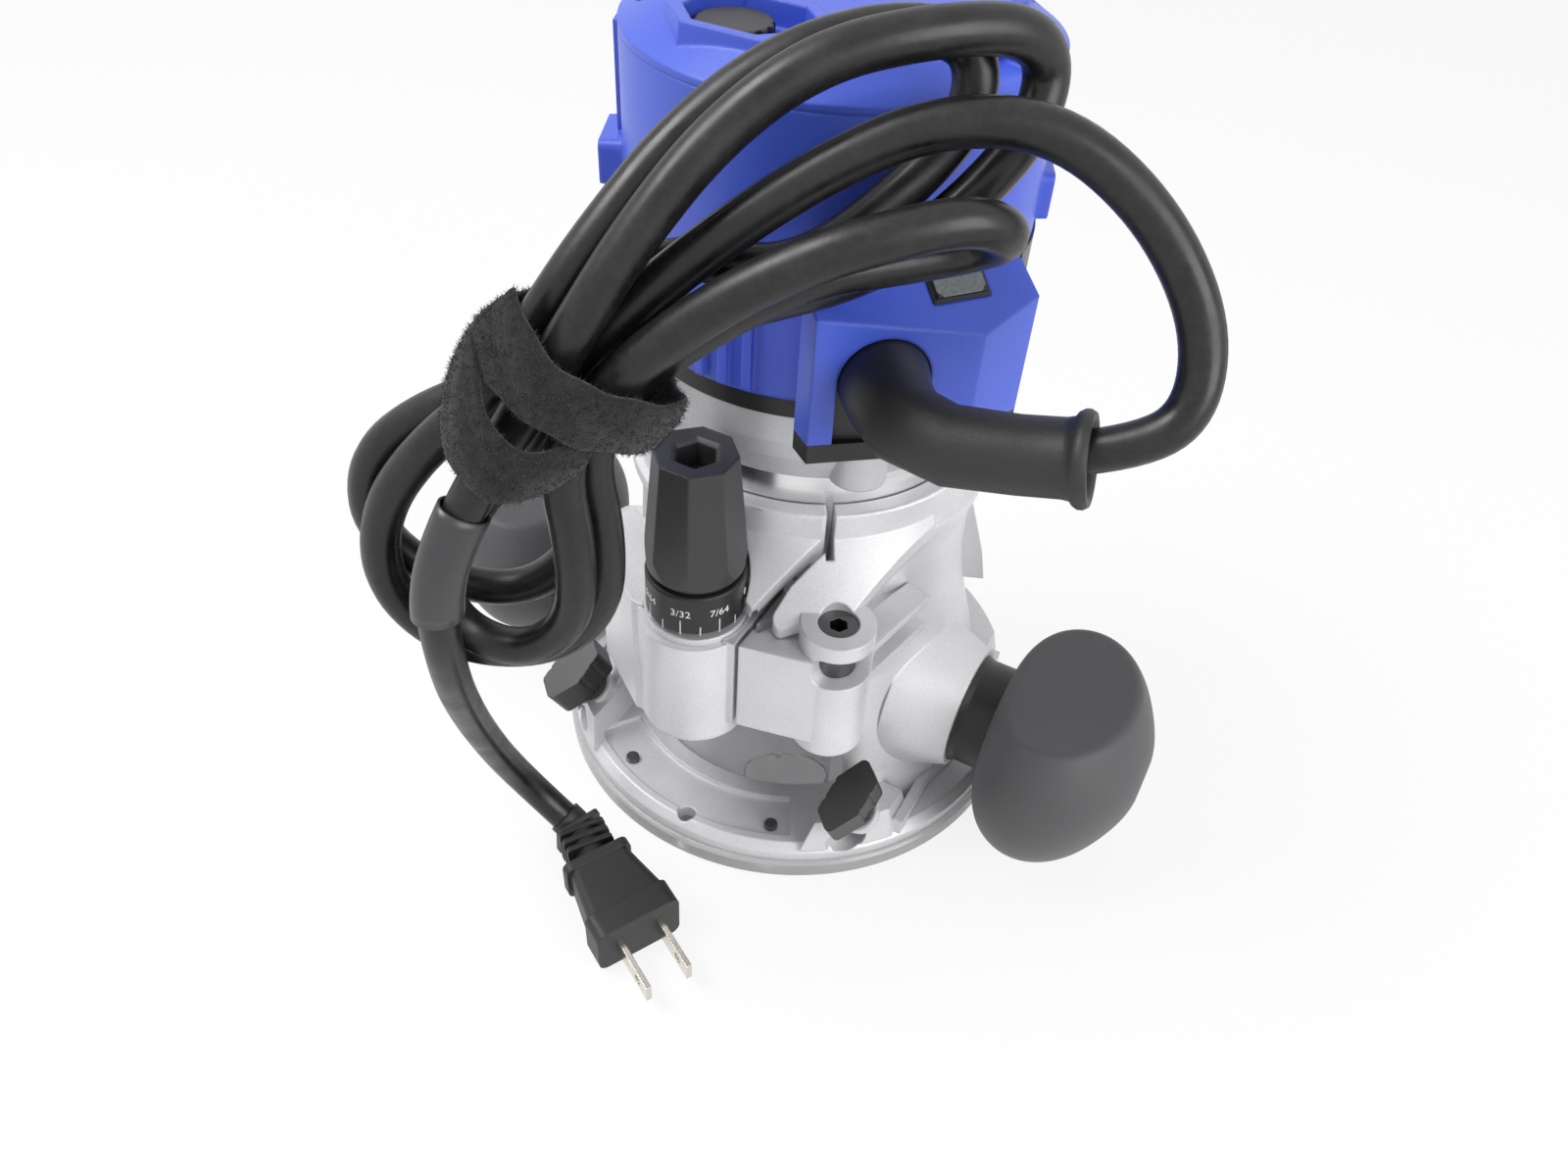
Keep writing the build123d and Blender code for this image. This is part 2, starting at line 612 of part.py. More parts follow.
with BuildPart() as rating_plate:
    with BuildSketch(radial_plane(0)):
        with Locations((housing_r + 0.3, 172.5)):
            Rectangle(0.6, 25)
    revolve(axis=Axis.Z, revolution_arc=44)
save(rating_plate, "rating_plate")

with BuildPart() as power_lens:
    with BuildSketch(lens_plane):
        Rectangle(14, 8.6)
    extrude(amount=-1.6)
    with BuildSketch(lens_plane):
        Rectangle(12.6, 7.2)
    extrude(amount=0.8, taper=20)
save(power_lens, "power_lens")

with BuildPart() as brush_caps:
    for side in (1, -1):
        with BuildSketch(brush_plane(side, housing_r - 2.5)):
            Circle(4.6)
        extrude(amount=boss_out[side] - 0.6 - housing_r + 2.5)
        with BuildSketch(brush_plane(side, boss_out[side] - 0.6)):
            Rectangle(6.6, 1.3)
        extrude(amount=-1.2, mode=Mode.SUBTRACT)
save(brush_caps, "brush_caps")

# ---- motor: cap, dial, switch --------------------------------------------------------------------
dial_x, dial_y, dial_r = -11.0, -30.0, 8.6
well_depth, cap_hollow = 4.5, 1.5
well_floor, cap_under = cap_top - well_depth, housing_top + cap_hollow
module_top = housing_top - 3.5
cap_screw_spots = [polar(42.5, angle) for angle in (40, 140, 212, -30)]
well = [(-15, -40.5), (0, -40.5), (5, -35), (5, -24), (0, -19), (-15, -19), (-21.5, -25), (-21.5, -33.5)]
well_rim = [(-17, -43.5), (4, -43.5), (9, -38), (9, -22.2), (1.6, -15.2), (-16.8, -15.2), (-25.5, -23.5),
            (-25.5, -35.5)]
with BuildPart() as top_cap:
    with BuildSketch(Plane.XY.offset(housing_top)):
        Circle(housing_r)
    extrude(amount=cap_rise)
    chamfer(top_cap.faces().sort_by(Axis.Z)[-1].edges(), length=0.8 * cap_rise, length2=1.25 * cap_rise)
    # raised rim of the dial well, raised panel on the right, cross bar at the back
    with BuildSketch(Plane.XY.offset(housing_top + 2)):
        with BuildLine():
            Polyline(*well_rim, close=True)
        make_face()
    extrude(amount=cap_rise - 0.8, taper=8)
    with BuildSketch(Plane.XY.offset(housing_top + 2)):
        with BuildLine():
            Polyline((15, -27), (27, -17), (38, 2), (38, 24), (15, 24), close=True)
        make_face()
    extrude(amount=cap_rise, taper=20)
    with BuildSketch(Plane.XY.offset(housing_top + 2)):
        with Locations((-14, 17)):
            RectangleRounded(34, 26, 4)
    extrude(amount=cap_rise, taper=20)
    # hollow underside, dial well, shelf beside it, notch at the right, air slots at the back
    with BuildSketch(Plane.XY.offset(housing_top)):
        Circle(housing_in_r - 2)
    extrude(amount=cap_hollow, mode=Mode.SUBTRACT)
    with BuildSketch(Plane.XY.offset(well_floor)):
        with BuildLine():
            Polyline(*well, close=True)
        make_face()
    extrude(amount=cap_rise, mode=Mode.SUBTRACT)
    with BuildSketch(Plane.XY.offset(cap_top - 3)):
        with BuildLine():
            Polyline((9, -52), (21, -47), (13.5, -27), (9, -29), close=True)
        make_face()
    extrude(amount=cap_rise, mode=Mode.SUBTRACT)
    with BuildSketch(Plane.XY.offset(cap_top - 5)):
        with Locations((43, -13)):
            Rectangle(14, 12, rotation=-17)
    extrude(amount=cap_rise, mode=Mode.SUBTRACT)
    with BuildSketch(Plane.XY.offset(housing_top)):
        with Locations(*[(x, 38) for x in (-18, -12, -6, 0, 6, 12, 18)]):
            SlotOverall(9, 2.4, rotation=90)
    extrude(amount=2 * cap_rise, mode=Mode.SUBTRACT)
    # dial shaft hole, screw holes with sunk heads
    with BuildSketch(Plane.XY.offset(housing_top)):
        with Locations((dial_x, dial_y)):
            Circle(3.0 + turn_gap)
        with Locations(*cap_screw_spots):
            Circle(2.0)
    extrude(amount=2 * cap_rise, mode=Mode.SUBTRACT)
    with BuildSketch(Plane.XY.offset(cap_under + 1.5)):
        with Locations(*cap_screw_spots):
            Circle(3.6)
    extrude(amount=2 * cap_rise, mode=Mode.SUBTRACT)
save(top_cap, "top_cap")

with BuildPart() as cap_screws:
    with BuildSketch(Plane.XY.offset(housing_top)):
        with Locations(*cap_screw_spots):
            Circle(2.0)
    extrude(amount=cap_hollow + 1.5)
    with BuildSketch(Plane.XY.offset(cap_under + 1.5)):
        with Locations(*cap_screw_spots):
            Circle(3.3)
    extrude(amount=1.8, taper=12)
    with BuildSketch(Plane.XY.offset(cap_under + 3.3)):
        with Locations(*cap_screw_spots):
            Rectangle(3.8, 0.8)
            Rectangle(0.8, 3.8)
    extrude(amount=-1.0, mode=Mode.SUBTRACT)
save(cap_screws, "cap_screws")

with BuildPart() as speed_dial:
    with BuildSketch(Plane.XY.offset(well_floor + face_gap)):
        with Locations((dial_x, dial_y)):
            Circle(dial_r)
    extrude(amount=well_depth - 1)
    fillet(speed_dial.faces().sort_by(Axis.Z)[-1].edges(), radius=0.8)
    with BuildSketch(Plane.XY.offset(well_floor + face_gap)):
        with Locations((dial_x, dial_y)):
            with PolarLocations(dial_r + 0.3, 16):
                Circle(1.0)
    extrude(amount=well_depth - 1, mode=Mode.SUBTRACT)
    with BuildSketch(Plane.XY.offset(module_top + face_gap)):
        with Locations((dial_x, dial_y)):
            Circle(3.0)
    extrude(amount=well_floor - module_top)
save(speed_dial, "speed_dial")

with BuildPart() as speed_module:
    with Locations((dial_x, dial_y + 4, module_top - 3.5)):
        Box(24, 20, 7)
    with Locations((dial_x + 2, dial_y - 9, (module_top - 7 + cap_under) / 2)):
        Box(10, 8, cap_under - module_top + 7)
save(speed_module, "speed_module")

switch_z, pivot_y = 198.0, 46.0
with BuildPart() as switch_case:
    with Locations((0, 45, switch_z)):
        Box(22, 9, 14)
    with Locations((0, 47, switch_z)):
        Box(17, 9, 10.8, mode=Mode.SUBTRACT)
    with BuildSketch(Plane.YZ.offset(-11)):
        with Locations((pivot_y, switch_z)):
            Circle(1.2 + turn_gap)
    extrude(amount=22, mode=Mode.SUBTRACT)
save(switch_case, "switch_case")

with BuildPart() as power_switch:
    with BuildSketch(Plane.YZ.offset(-8.2)):
        with BuildLine():
            Polyline((44.4, switch_z - 2.2), (50.4, switch_z - 4.6), (52.0, switch_z - 4.4), (50.8, switch_z),
                     (50.8, switch_z + 4.6), (44.4, switch_z + 2.2), (44.4, switch_z - 2.2))
        make_face()
    extrude(amount=16.4)
    with BuildSketch(Plane.YZ.offset(-10.4)):
        with Locations((pivot_y, switch_z)):
            Circle(1.2)
    extrude(amount=20.8)
save(power_switch, "power_switch")

# ---- motor: inner pieces -------------------------------------------------------------------------
with BuildPart() as depth_arm:
    with BuildSketch(Plane.XY.offset(arm_low)):
        with Locations((0, tower_y)):
            Circle(7.6)
        with Locations((0, (tower_y - 43.6) / 2)):
            Rectangle(13, -tower_y - 43.6)
        Circle(barrel_r, mode=Mode.SUBTRACT)
        with Locations((0, tower_y)):
            Circle(screw_r + turn_gap, mode=Mode.SUBTRACT)
    extrude(amount=arm_t)
save(depth_arm, "depth_arm")

with BuildPart() as stator_core:
    with BuildSketch(Plane.XY.offset(104)):
        Circle(barrel_in_r)
        Circle(stator_in_r, mode=Mode.SUBTRACT)
    extrude(amount=50)
save(stator_core, "stator_core")

with BuildPart() as lower_bearing:
    with BuildSketch(Plane.XY.offset(seat_low)):
        Circle(bearing_out_r)
        Circle(bearing_in_r, mode=Mode.SUBTRACT)
    extrude(amount=seat_top - seat_low)
    chamfer(lower_bearing.edges().filter_by(GeomType.CIRCLE), length=0.5)
save(lower_bearing, "lower_bearing")

upper_low, upper_h, upper_out_r, upper_in_r = 205.0, 8.0, 13.0, 5.0
with BuildPart() as upper_bearing:
    with BuildSketch(Plane.XY.offset(upper_low)):
        Circle(upper_out_r)
        Circle(upper_in_r, mode=Mode.SUBTRACT)
    extrude(amount=upper_h)
save(upper_bearing, "upper_bearing")

with BuildPart() as bearing_bracket:
    with BuildSketch(Plane.XY.offset(upper_low)):
        Circle(17)
        Rectangle(16, 120, rotation=brush_angle)
        Rectangle(120, 16, rotation=brush_angle)
        Circle(housing_in_r, mode=Mode.INTERSECT)
        Circle(upper_out_r, mode=Mode.SUBTRACT)
    extrude(amount=upper_h)
save(bearing_bracket, "bearing_bracket")

with BuildPart() as brush_holders:
    for side in (1, -1):
        with Locations(Location((*polar(side * (14 + housing_in_r) / 2, brush_angle), brush_z),
                                (0, 0, brush_angle))):
            Box(housing_in_r - 0.6 - 14.6, 9, 10)
        with Locations(Location((*polar(side * 31, brush_angle), (brush_z + 5 + upper_low) / 2),
                                (0, 0, brush_angle))):
            Box(6, 9, upper_low - brush_z - 5)
save(brush_holders, "brush_holders")

# ---- spindle -------------------------------------------------------------------------------------
with BuildPart() as spindle_shaft:
    with BuildSketch(Plane.XZ):
        with BuildLine():
            Polyline((collet_out_r, 42), (nose_r, 42), (nose_r, 57.4), (bearing_in_r - 0.05, 57.4),
                     (bearing_in_r - 0.05, 76), (shaft_r, 76), (shaft_r, upper_low - 0.6), (upper_in_r - 0.05, upper_low - 0.6),
                     (upper_in_r - 0.05, upper_low + upper_h + 0.5), (0, upper_low + upper_h + 0.5), (0, 57),
                     (collet_out_r, 57), (collet_out_r, 42))
        make_face()
    revolve(axis=Axis.Z)
save(spindle_shaft, "spindle_shaft")

with BuildPart() as rotor_core:
    with BuildSketch(Plane.XY.offset(106)):
        Circle(rotor_r)
        with PolarLocations(rotor_r, 12):
            Rectangle(6, 2, mode=Mode.SUBTRACT)
        Circle(shaft_r, mode=Mode.SUBTRACT)
    extrude(amount=46)
    with BuildSketch(Plane.XY.offset(100)):
        Circle(20)
        Circle(shaft_r, mode=Mode.SUBTRACT)
    extrude(amount=60)
save(rotor_core, "rotor_core")

with BuildPart() as commutator:
    with BuildSketch(Plane.XY.offset(brush_z - 8)):
        Circle(14)
        with PolarLocations(14, 24):
            Rectangle(2, 0.5, mode=Mode.SUBTRACT)
        Circle(shaft_r, mode=Mode.SUBTRACT)
    extrude(amount=14)
save(commutator, "commutator")

with BuildPart() as cooling_fan:
    with BuildSketch(Plane.XY.offset(82)):
        Circle(37)
        Circle(shaft_r, mode=Mode.SUBTRACT)
    extrude(amount=2)
    with BuildSketch(Plane.XY.offset(82)):
        Circle(11)
        Circle(shaft_r, mode=Mode.SUBTRACT)
    extrude(amount=12)
    with BuildSketch(Plane.XY.offset(84)):
        with PolarLocations(26, 9):
            Rectangle(20, 1.6)
    extrude(amount=8)
save(cooling_fan, "cooling_fan")

with BuildPart() as collet:
    with BuildSketch(Plane.XY.offset(37)):
        Circle(collet_out_r)
        Circle(collet_r, mode=Mode.SUBTRACT)
    extrude(amount=20)
    with BuildSketch(Plane.XY.offset(37)):
        with PolarLocations(collet_out_r, 4):
            Rectangle(6, 0.8)
    extrude(amount=14, mode=Mode.SUBTRACT)
save(collet, "collet")

with BuildPart() as collet_nut:
    with BuildSketch(Plane.XY.offset(35)):
        RegularPolygon(14.2, 6)
        Circle(13.6, mode=Mode.INTERSECT)
    extrude(amount=17)
    with BuildSketch(Plane.XY.offset(35)):
        Circle(7.4)
    extrude(amount=2, mode=Mode.SUBTRACT)
    with BuildSketch(Plane.XY.offset(37 - face_gap)):
        Circle(nose_r + turn_gap)
    extrude(amount=20, mode=Mode.SUBTRACT)
save(collet_nut, "collet_nut")

# ---- mains cord ----------------------------------------------------------------------------------
boot_end = Vector(88.5, -60, 178)
boot_r = 8.0
cord_route = [
    (93.1, -58.9, 178.5), (101, -57, 179.4), (106, -51.5, 189), (99.5, -45.5, 206), (84.5, -43.5, 222.5),
    (65, -48, 234.5), (46, -57, 233.5), (31, -68, 225.5), (15.5, -82, 212.5), (-4, -95, 191.5),
    (-14, -101, 172.5), (-26, -111, 152), (-34.5, -118.5, 133), (-31.5, -116, 116), (-17, -112, 112),
    (-4.5, -107.5, 124.5), (-2.5, -107, 146), (-6, -106.5, 170), (4.5, -101, 188.5), (20, -93, 204.5),
    (35.5, -85, 215.5), (47, -77, 220), (58.5, -67, 222.5), (64, -57, 217), (55.5, -50.5, 209),
    (44, -60, 207), (30, -79, 208), (4, -91, 186), (-6.5, -96.5, 167), (-4, -94, 141),
    (-5.5, -95.5, 117.5), (-19.5, -102, 102), (-39.5, -112.5, 103), (-51, -118.5, 121),
    (-48.5, -117.5, 144), (-37, -112, 163), (-22, -105, 178), (-11.5, -99.5, 197), (-5, -89.5, 211),
    (2.5, -73, 226), (14, -58, 237.5), (28, -45, 242.5), (42.5, -34.5, 241.5), (46.5, -36.5, 229),
    (38.5, -46.5, 215), (26, -70, 203), (5, -76.5, 205), (-12, -89.5, 194), (-22.5, -95, 175.5),
    (-41.5, -102, 166.5), (-56.5, -109.5, 152.5), (-60, -111.5, 132), (-48.5, -105, 115),
    (-30.5, -95, 111), (-17.5, -87.5, 124.5), (-14, -86.5, 146), (-14.5, -90.5, 170), (-4.5, -85, 188.5),
    (18, -68, 193.5), (37, -53, 200), (50, -43, 214), (57.5, -36, 227), (57, -29, 237),
    (53.5, -37.5, 245.5), (41, -53, 246.5), (26, -66, 242.5), (14, -79, 231), (5, -93, 214.5),
    (-3.5, -105.5, 194), (-13.5, -111, 175.5), (-20, -121, 159), (-25, -127.5, 140.5),
    (-27.5, -126, 115.5), (-38, -114, 82), (-46, -99, 44), (-44, -89, 17), (-32, -88.8, 9)]
# the cord is four pieces, cut half-way along these runs
cord_cuts = [len(cord_route) // 4 * k for k in range(4)] + [len(cord_route) - 1]


def route_radii(points):
    """Bend radius at each inner point: 0.45 of the shorter run over the tangent of half the turn."""
    radii = []
    for before, here, after in zip(points, points[1:], points[2:]):
        run_in, run_out = Vector(*here) - Vector(*before), Vector(*after) - Vector(*here)
        turn = acos(max(-1, min(1, run_in.normalized().dot(run_out.normalized()))))
        radii.append(0.45 * min(run_in.length, run_out.length) / tan(turn / 2))
    return radii


def half_way(run):
    return tuple((Vector(*cord_route[run]) + Vector(*cord_route[run + 1])) / 2)


cord_bends = route_radii(cord_route)
print("bend radii", [round(bend, 1) for bend in cord_bends])


def cord_piece(first, last):
    """Tube between two cuts: straight runs joined by tangent arcs."""
    start = [cord_route[0]] if first == 0 else [half_way(first)]
    end = [cord_route[-1]] if last == len(cord_route) - 1 else [half_way(last)]
    stop = last if last == len(cord_route) - 1 else last + 1
    with BuildPart() as tube:
        with BuildLine():
            route = FilletPolyline(*start, *cord_route[first + 1:stop], *end, radius=cord_bends[first:stop - 1])
        with BuildSketch(Plane(origin=route @ 0, z_dir=route % 0)):
            Circle(cord_r)
        sweep()
    print("length", round(route.length, 1), "volume over section x length",
          round(tube.part.volume / (pi * cord_r ** 2 * route.length), 4))
    return tube


for name, first, last in zip(("cord_lead", "cord_middle", "cord_back", "cord_tail"), cord_cuts, cord_cuts[1:]):
    save(cord_piece(first, last), name)

with BuildPart() as cord_boot:
    with BuildLine():
        boot_line = FilletPolyline(tuple(boot_root), (52, -68.5, 174), tuple(boot_end), radius=[16])
    with BuildSketch(Plane(origin=boot_line @ 0, z_dir=boot_line % 0)):
        Circle(boot_r)
    sweep()
    with BuildSketch(Plane(origin=boot_line @ 1, z_dir=boot_line % 1)):
        Circle(boot_r + 1.2)
    extrude(amount=4.8)
save(cord_boot, "cord_boot")

# tie round the seven strands, where they run side by side
tie_axis = Vector(0.461, 0.250, 0.851).normalized()
tie_plane = Plane(origin=Vector(-9, -98, 182) - tie_axis * 9, x_dir=(0.747, 0.408, -0.524), z_dir=tie_axis)
with BuildPart() as cord_tie:
    with BuildSketch(tie_plane):
        RegularPolygon(17.4, 6)
        RegularPolygon(15.6, 6, mode=Mode.SUBTRACT)
    extrude(amount=18)
save(cord_tie, "cord_tie")

with BuildPart() as cord_label:
    with BuildSketch(Plane(origin=(-26, -127, 128.5), z_dir=(-0.08, 0.08, -0.99))):
        Circle(cord_r + 0.9)
        Circle(cord_r, mode=Mode.SUBTRACT)
    extrude(amount=5, both=True)
save(cord_label, "cord_label")

# ---- plug ----------------------------------------------------------------------------------------
plug_dir = Vector(0.88, -0.475, 0).normalized()
relief_start, relief_end = Vector(-32, -88.8, 9), Vector(-14, -97.6, 8.8)
tail_dir = (Vector(*cord_route[-1]) - Vector(*cord_route[-2])).normalized()
plug_back = Plane(origin=relief_end, x_dir=(0.475, 0.88, 0), z_dir=plug_dir)
with BuildPart() as plug_body:
    with BuildLine():
        relief_line = FilletPolyline(tuple(relief_start), tuple(relief_start + tail_dir * 6), tuple(relief_end),
                                     radius=[8])
    with BuildSketch(Plane(origin=relief_line @ 0, z_dir=relief_line % 0)):
        Circle(5.4)
    sweep()
    for along in (0.3, 0.48, 0.66, 0.84):
        ahead = relief_line % along
        with BuildSketch(Plane(origin=relief_line @ along, x_dir=ahead.cross(Vector(0, 0, 1)), z_dir=ahead)):
            RectangleRounded(14.5, 12, 1.5)
        extrude(amount=0.9, both=True)
    with BuildSketch(plug_back):
        RectangleRounded(21, 14, 2.5)
    extrude(amount=3)
    with BuildSketch(plug_back.offset(3)):
        RectangleRounded(18.5, 13.4, 2.5)
    with BuildSketch(plug_back.offset(20)):
        RectangleRounded(24, 17, 3)
    loft()
    with BuildSketch(plug_back.offset(20)):
        RectangleRounded(26, 17.2, 3)
    extrude(amount=8)
save(plug_body, "plug_body")

blade_gap, blade_w, blade_t, blade_long = 12.7, 6.4, 1.55, 17.5
with BuildPart() as plug_blades:
    for side in (1, -1):
        with BuildSketch(plug_back.offset(28)):
            with Locations((side * blade_gap / 2, 0)):
                Rectangle(blade_t, blade_w)
        extrude(amount=blade_long)
    with BuildSketch(Plane(origin=relief_end + plug_dir * (28 + 12), x_dir=plug_dir, z_dir=(0.475, 0.88, 0))):
        Circle(1.55)
    extrude(amount=20, both=True, mode=Mode.SUBTRACT)
save(plug_blades, "plug_blades")
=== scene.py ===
"""Looks of the fixed-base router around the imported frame: materials, cord, strap, marks, light, camera."""
import math

import bmesh
import bpy
import numpy as np
from mathutils import Matrix, Vector


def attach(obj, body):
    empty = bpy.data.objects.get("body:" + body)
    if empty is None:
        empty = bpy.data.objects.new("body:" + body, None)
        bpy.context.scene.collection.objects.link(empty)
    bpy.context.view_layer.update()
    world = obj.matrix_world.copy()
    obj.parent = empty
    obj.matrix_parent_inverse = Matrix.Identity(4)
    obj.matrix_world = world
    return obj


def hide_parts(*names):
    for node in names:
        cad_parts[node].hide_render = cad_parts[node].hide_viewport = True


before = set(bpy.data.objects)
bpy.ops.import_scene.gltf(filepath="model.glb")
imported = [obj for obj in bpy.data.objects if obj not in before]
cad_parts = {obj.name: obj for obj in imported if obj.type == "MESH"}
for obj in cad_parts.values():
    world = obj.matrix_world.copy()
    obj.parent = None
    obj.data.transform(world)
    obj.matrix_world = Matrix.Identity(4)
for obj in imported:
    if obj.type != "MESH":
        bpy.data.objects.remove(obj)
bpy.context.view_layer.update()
MM = 0.001


# ---- shader maths --------------------------------------------------------------------------------
class Value:
    """A number in a shader. Operators on it add Math nodes."""

    def __init__(self, finish, socket):
        self.finish, self.socket = finish, socket

    def _math(self, operation, *parts):
        return self.finish.node("ShaderNodeMath", {"operation": operation}, dict(enumerate(parts)))

    def __add__(self, other):
        return self._math("ADD", self, other)

    def __radd__(self, other):
        return self._math("ADD", other, self)

    def __sub__(self, other):
        return self._math("SUBTRACT", self, other)

    def __mul__(self, other):
        return self._math("MULTIPLY", self, other)

    def __rmul__(self, other):
        return self._math("MULTIPLY", other, self)

    def __gt__(self, other):
        return self._math("GREATER_THAN", self, other)

    def clamp(self):
        return self.finish.node("ShaderNodeClamp", {}, {0: self})

    def wave(self):
        return self._math("SINE", self)

    def size(self):
        return self._math("ABSOLUTE", self)

    def span(self, low, high):
        """0 below low, 1 above high, straight between."""
        return self.finish.node("ShaderNodeMapRange", {}, {"Value": self, "From Min": low, "From Max": high})


class Finish:
    """One procedural material: a Principled surface and short ways to feed it."""

    def __init__(self, name, **sockets):
        self.material = bpy.data.materials.new(name)
        self.material.use_nodes = True
        self.tree = self.material.node_tree
        self.tree.nodes.clear()
        self.surface = self.tree.nodes.new("ShaderNodeBsdfPrincipled")
        self.out = self.tree.nodes.new("ShaderNodeOutputMaterial")
        self.tree.links.new(self.surface.outputs[0], self.out.inputs["Surface"])
        for socket, value in sockets.items():
            self.surface.inputs[socket.replace("_", " ")].default_value = value

    def node(self, kind, settings, sockets, output=0):
        made = self.tree.nodes.new(kind)
        for name, value in settings.items():
            setattr(made, name, value)
        for name, value in sockets.items():
            if isinstance(value, Value):
                self.tree.links.new(value.socket, made.inputs[name])
            else:
                made.inputs[name].default_value = value
        return Value(self, made.outputs[output])

    def feed(self, socket, value):
        self.tree.links.new(value.socket, self.surface.inputs[socket])

    def place(self):
        return self.node("ShaderNodeTexCoord", {}, {}, "Object")

    def axes(self, vector):
        parts = self.tree.nodes.new("ShaderNodeSeparateXYZ")
        self.tree.links.new(vector.socket, parts.inputs[0])
        return [Value(self, out) for out in parts.outputs]

    def along(self, origin, direction):
        """Distance of the place from a point, measured along a direction."""
        kind = "ShaderNodeVectorMath"
        shift = self.node(kind, {"operation": "SUBTRACT"}, {0: self.place(), 1: origin})
        return self.node(kind, {"operation": "DOT_PRODUCT"}, {0: shift, 1: direction}, "Value")

    def stretched(self, scale, turn=(0, 0, 0)):
        return self.node("ShaderNodeMapping", {}, {"Vector": self.place(), "Scale": scale, "Rotation": turn})

    def noise(self, size, detail=3.0, rough=0.5, vector=None):
        """Noise whose blotches are about this many metres across."""
        sockets = {"Vector": vector or self.place(), "Scale": 1 / size, "Detail": detail, "Roughness": rough}
        return self.node("ShaderNodeTexNoise", {}, sockets)

    def shade(self, mask, first, second):
        """Colour that goes from first to second with mask."""
        return self.node("ShaderNodeMix", {"data_type": "RGBA"}, {0: mask, 6: first, 7: second}, 2)

    def relief(self, height, depth, edge=0.0):
        """Bump of this depth in metres, over edges eased to a radius."""
        sockets = {"Height": height, "Distance": depth, "Strength": 1.0}
        if edge:
            sockets["Normal"] = self.node("ShaderNodeBevel", {"samples": 6}, {"Radius": edge})
        self.feed("Normal", self.node("ShaderNodeBump", {}, sockets))


def rgb(red, green, blue):
    return (red, green, blue, 1.0)


# ---- finishes ------------------------------------------------------------------------------------
def cast_aluminium(name, pale, dull):
    """Bead-blasted casting with a fine grain and a soft drift of tone."""
    finish = Finish(name, Metallic=0.35, Specular_IOR_Level=0.5)
    grain, blotch, pits = finish.noise(0.0006, 2), finish.noise(0.03, 3), finish.noise(0.0016, 2)
    drift = (0.55 * blotch + 0.45 * grain).span(0.3, 0.7)
    finish.feed("Base Color", finish.shade(drift, rgb(*dull), rgb(*pale)))
    finish.feed("Roughness", 0.34 + 0.12 * blotch + 0.08 * grain)
    finish.relief(grain * 0.6 + pits * 0.4, 0.00005, 0.0008)
    return finish.material


def turned_metal(name, tone, rough):
    """Turned or brushed metal with fine lines round the upright axis."""
    finish = Finish(name, Metallic=1.0)
    fine = finish.noise(0.00035, 2, 0.6, finish.stretched((0.02, 0.02, 1.0)))
    broad = finish.noise(0.012, 2)
    drift = (0.5 * fine + 0.5 * broad).span(0.3, 0.7)
    finish.feed("Base Color", finish.shade(drift, rgb(*(0.86 * c for c in tone)), rgb(*tone)))
    finish.feed("Roughness", rough + 0.08 * (fine - 0.5) + 0.08 * (broad - 0.5))
    finish.relief(fine, 0.00002, 0.0003)
    return finish.material


def moulded(name, colour, rough, grain=0.0004, depth=0.00004, edge=0.0005, shift=0.12, **sockets):
    """Moulded plastic or rubber: eroded grain, slight tone drift and a soft change of gloss."""
    finish = Finish(name, **sockets)
    fine, broad = finish.noise(grain, 2, 0.6), finish.noise(0.02, 3)
    dark, light = (tuple(c * (1 + side * shift) for c in colour) for side in (-1, 1))
    drift = (0.55 * broad + 0.45 * fine).span(0.3, 0.7)
    finish.feed("Base Color", finish.shade(drift, rgb(*dark), rgb(*light)))
    finish.feed("Roughness", rough + 0.1 * (broad - 0.5) + 0.12 * (fine - 0.5))
    finish.relief(fine, depth, edge)
    return finish.material


def clear_moulding(name, tint, rough, clear=0.92):
    """Clear polycarbonate: faint tint, fine scratches."""
    finish = Finish(name, Transmission_Weight=clear, IOR=1.49)
    scratch = finish.noise(0.0012, 4, 0.7, finish.stretched((1.0, 0.12, 1.0), (0, 0, 0.6)))
    haze = finish.noise(0.012, 3)
    finish.feed("Base Color", finish.shade(haze, rgb(*tint), rgb(*(min(1.0, c * 1.05) for c in tint))))
    finish.feed("Roughness", rough + 0.12 * scratch.span(0.5, 0.8) + 0.05 * haze)
    finish.relief(scratch, 0.000008, 0.0004)
    return finish.material


def stacked_steel(name):
    """Laminated core: thin sheets seen as fine rings."""
    finish = Finish(name, Metallic=0.8)
    up = finish.axes(finish.place())[2]
    sheets = (up * (2 * math.pi / 0.0007)).wave()
    finish.feed("Base Color", finish.shade(sheets.span(-1, 1), rgb(0.16, 0.15, 0.15), rgb(0.4, 0.39, 0.38)))
    finish.feed("Roughness", 0.42 + 0.1 * finish.noise(0.004))
    finish.relief(sheets, 0.00004)
    return finish.material


def strap_pile(name):
    """Black hook-and-loop pile: matt, felted, with pale lint."""
    finish = Finish(name, Sheen_Weight=0.25, Sheen_Roughness=0.5, Specular_IOR_Level=0.2)
    fuzz, clump = finish.noise(0.0004, 3, 0.7), finish.noise(0.003, 3)
    lint = finish.noise(0.0006, 1).span(0.72, 0.8)
    drift = (0.6 * fuzz + 0.4 * clump).span(0.35, 0.7)
    base = finish.shade(drift, rgb(0.008, 0.008, 0.009), rgb(0.034, 0.034, 0.036))
    finish.feed("Base Color", finish.shade(0.35 * lint, base, rgb(0.14, 0.14, 0.14)))
    finish.feed("Roughness", 0.82 + 0.15 * fuzz)
    finish.relief(fuzz * 0.6 + clump * 0.4, 0.0005)
    return finish.material


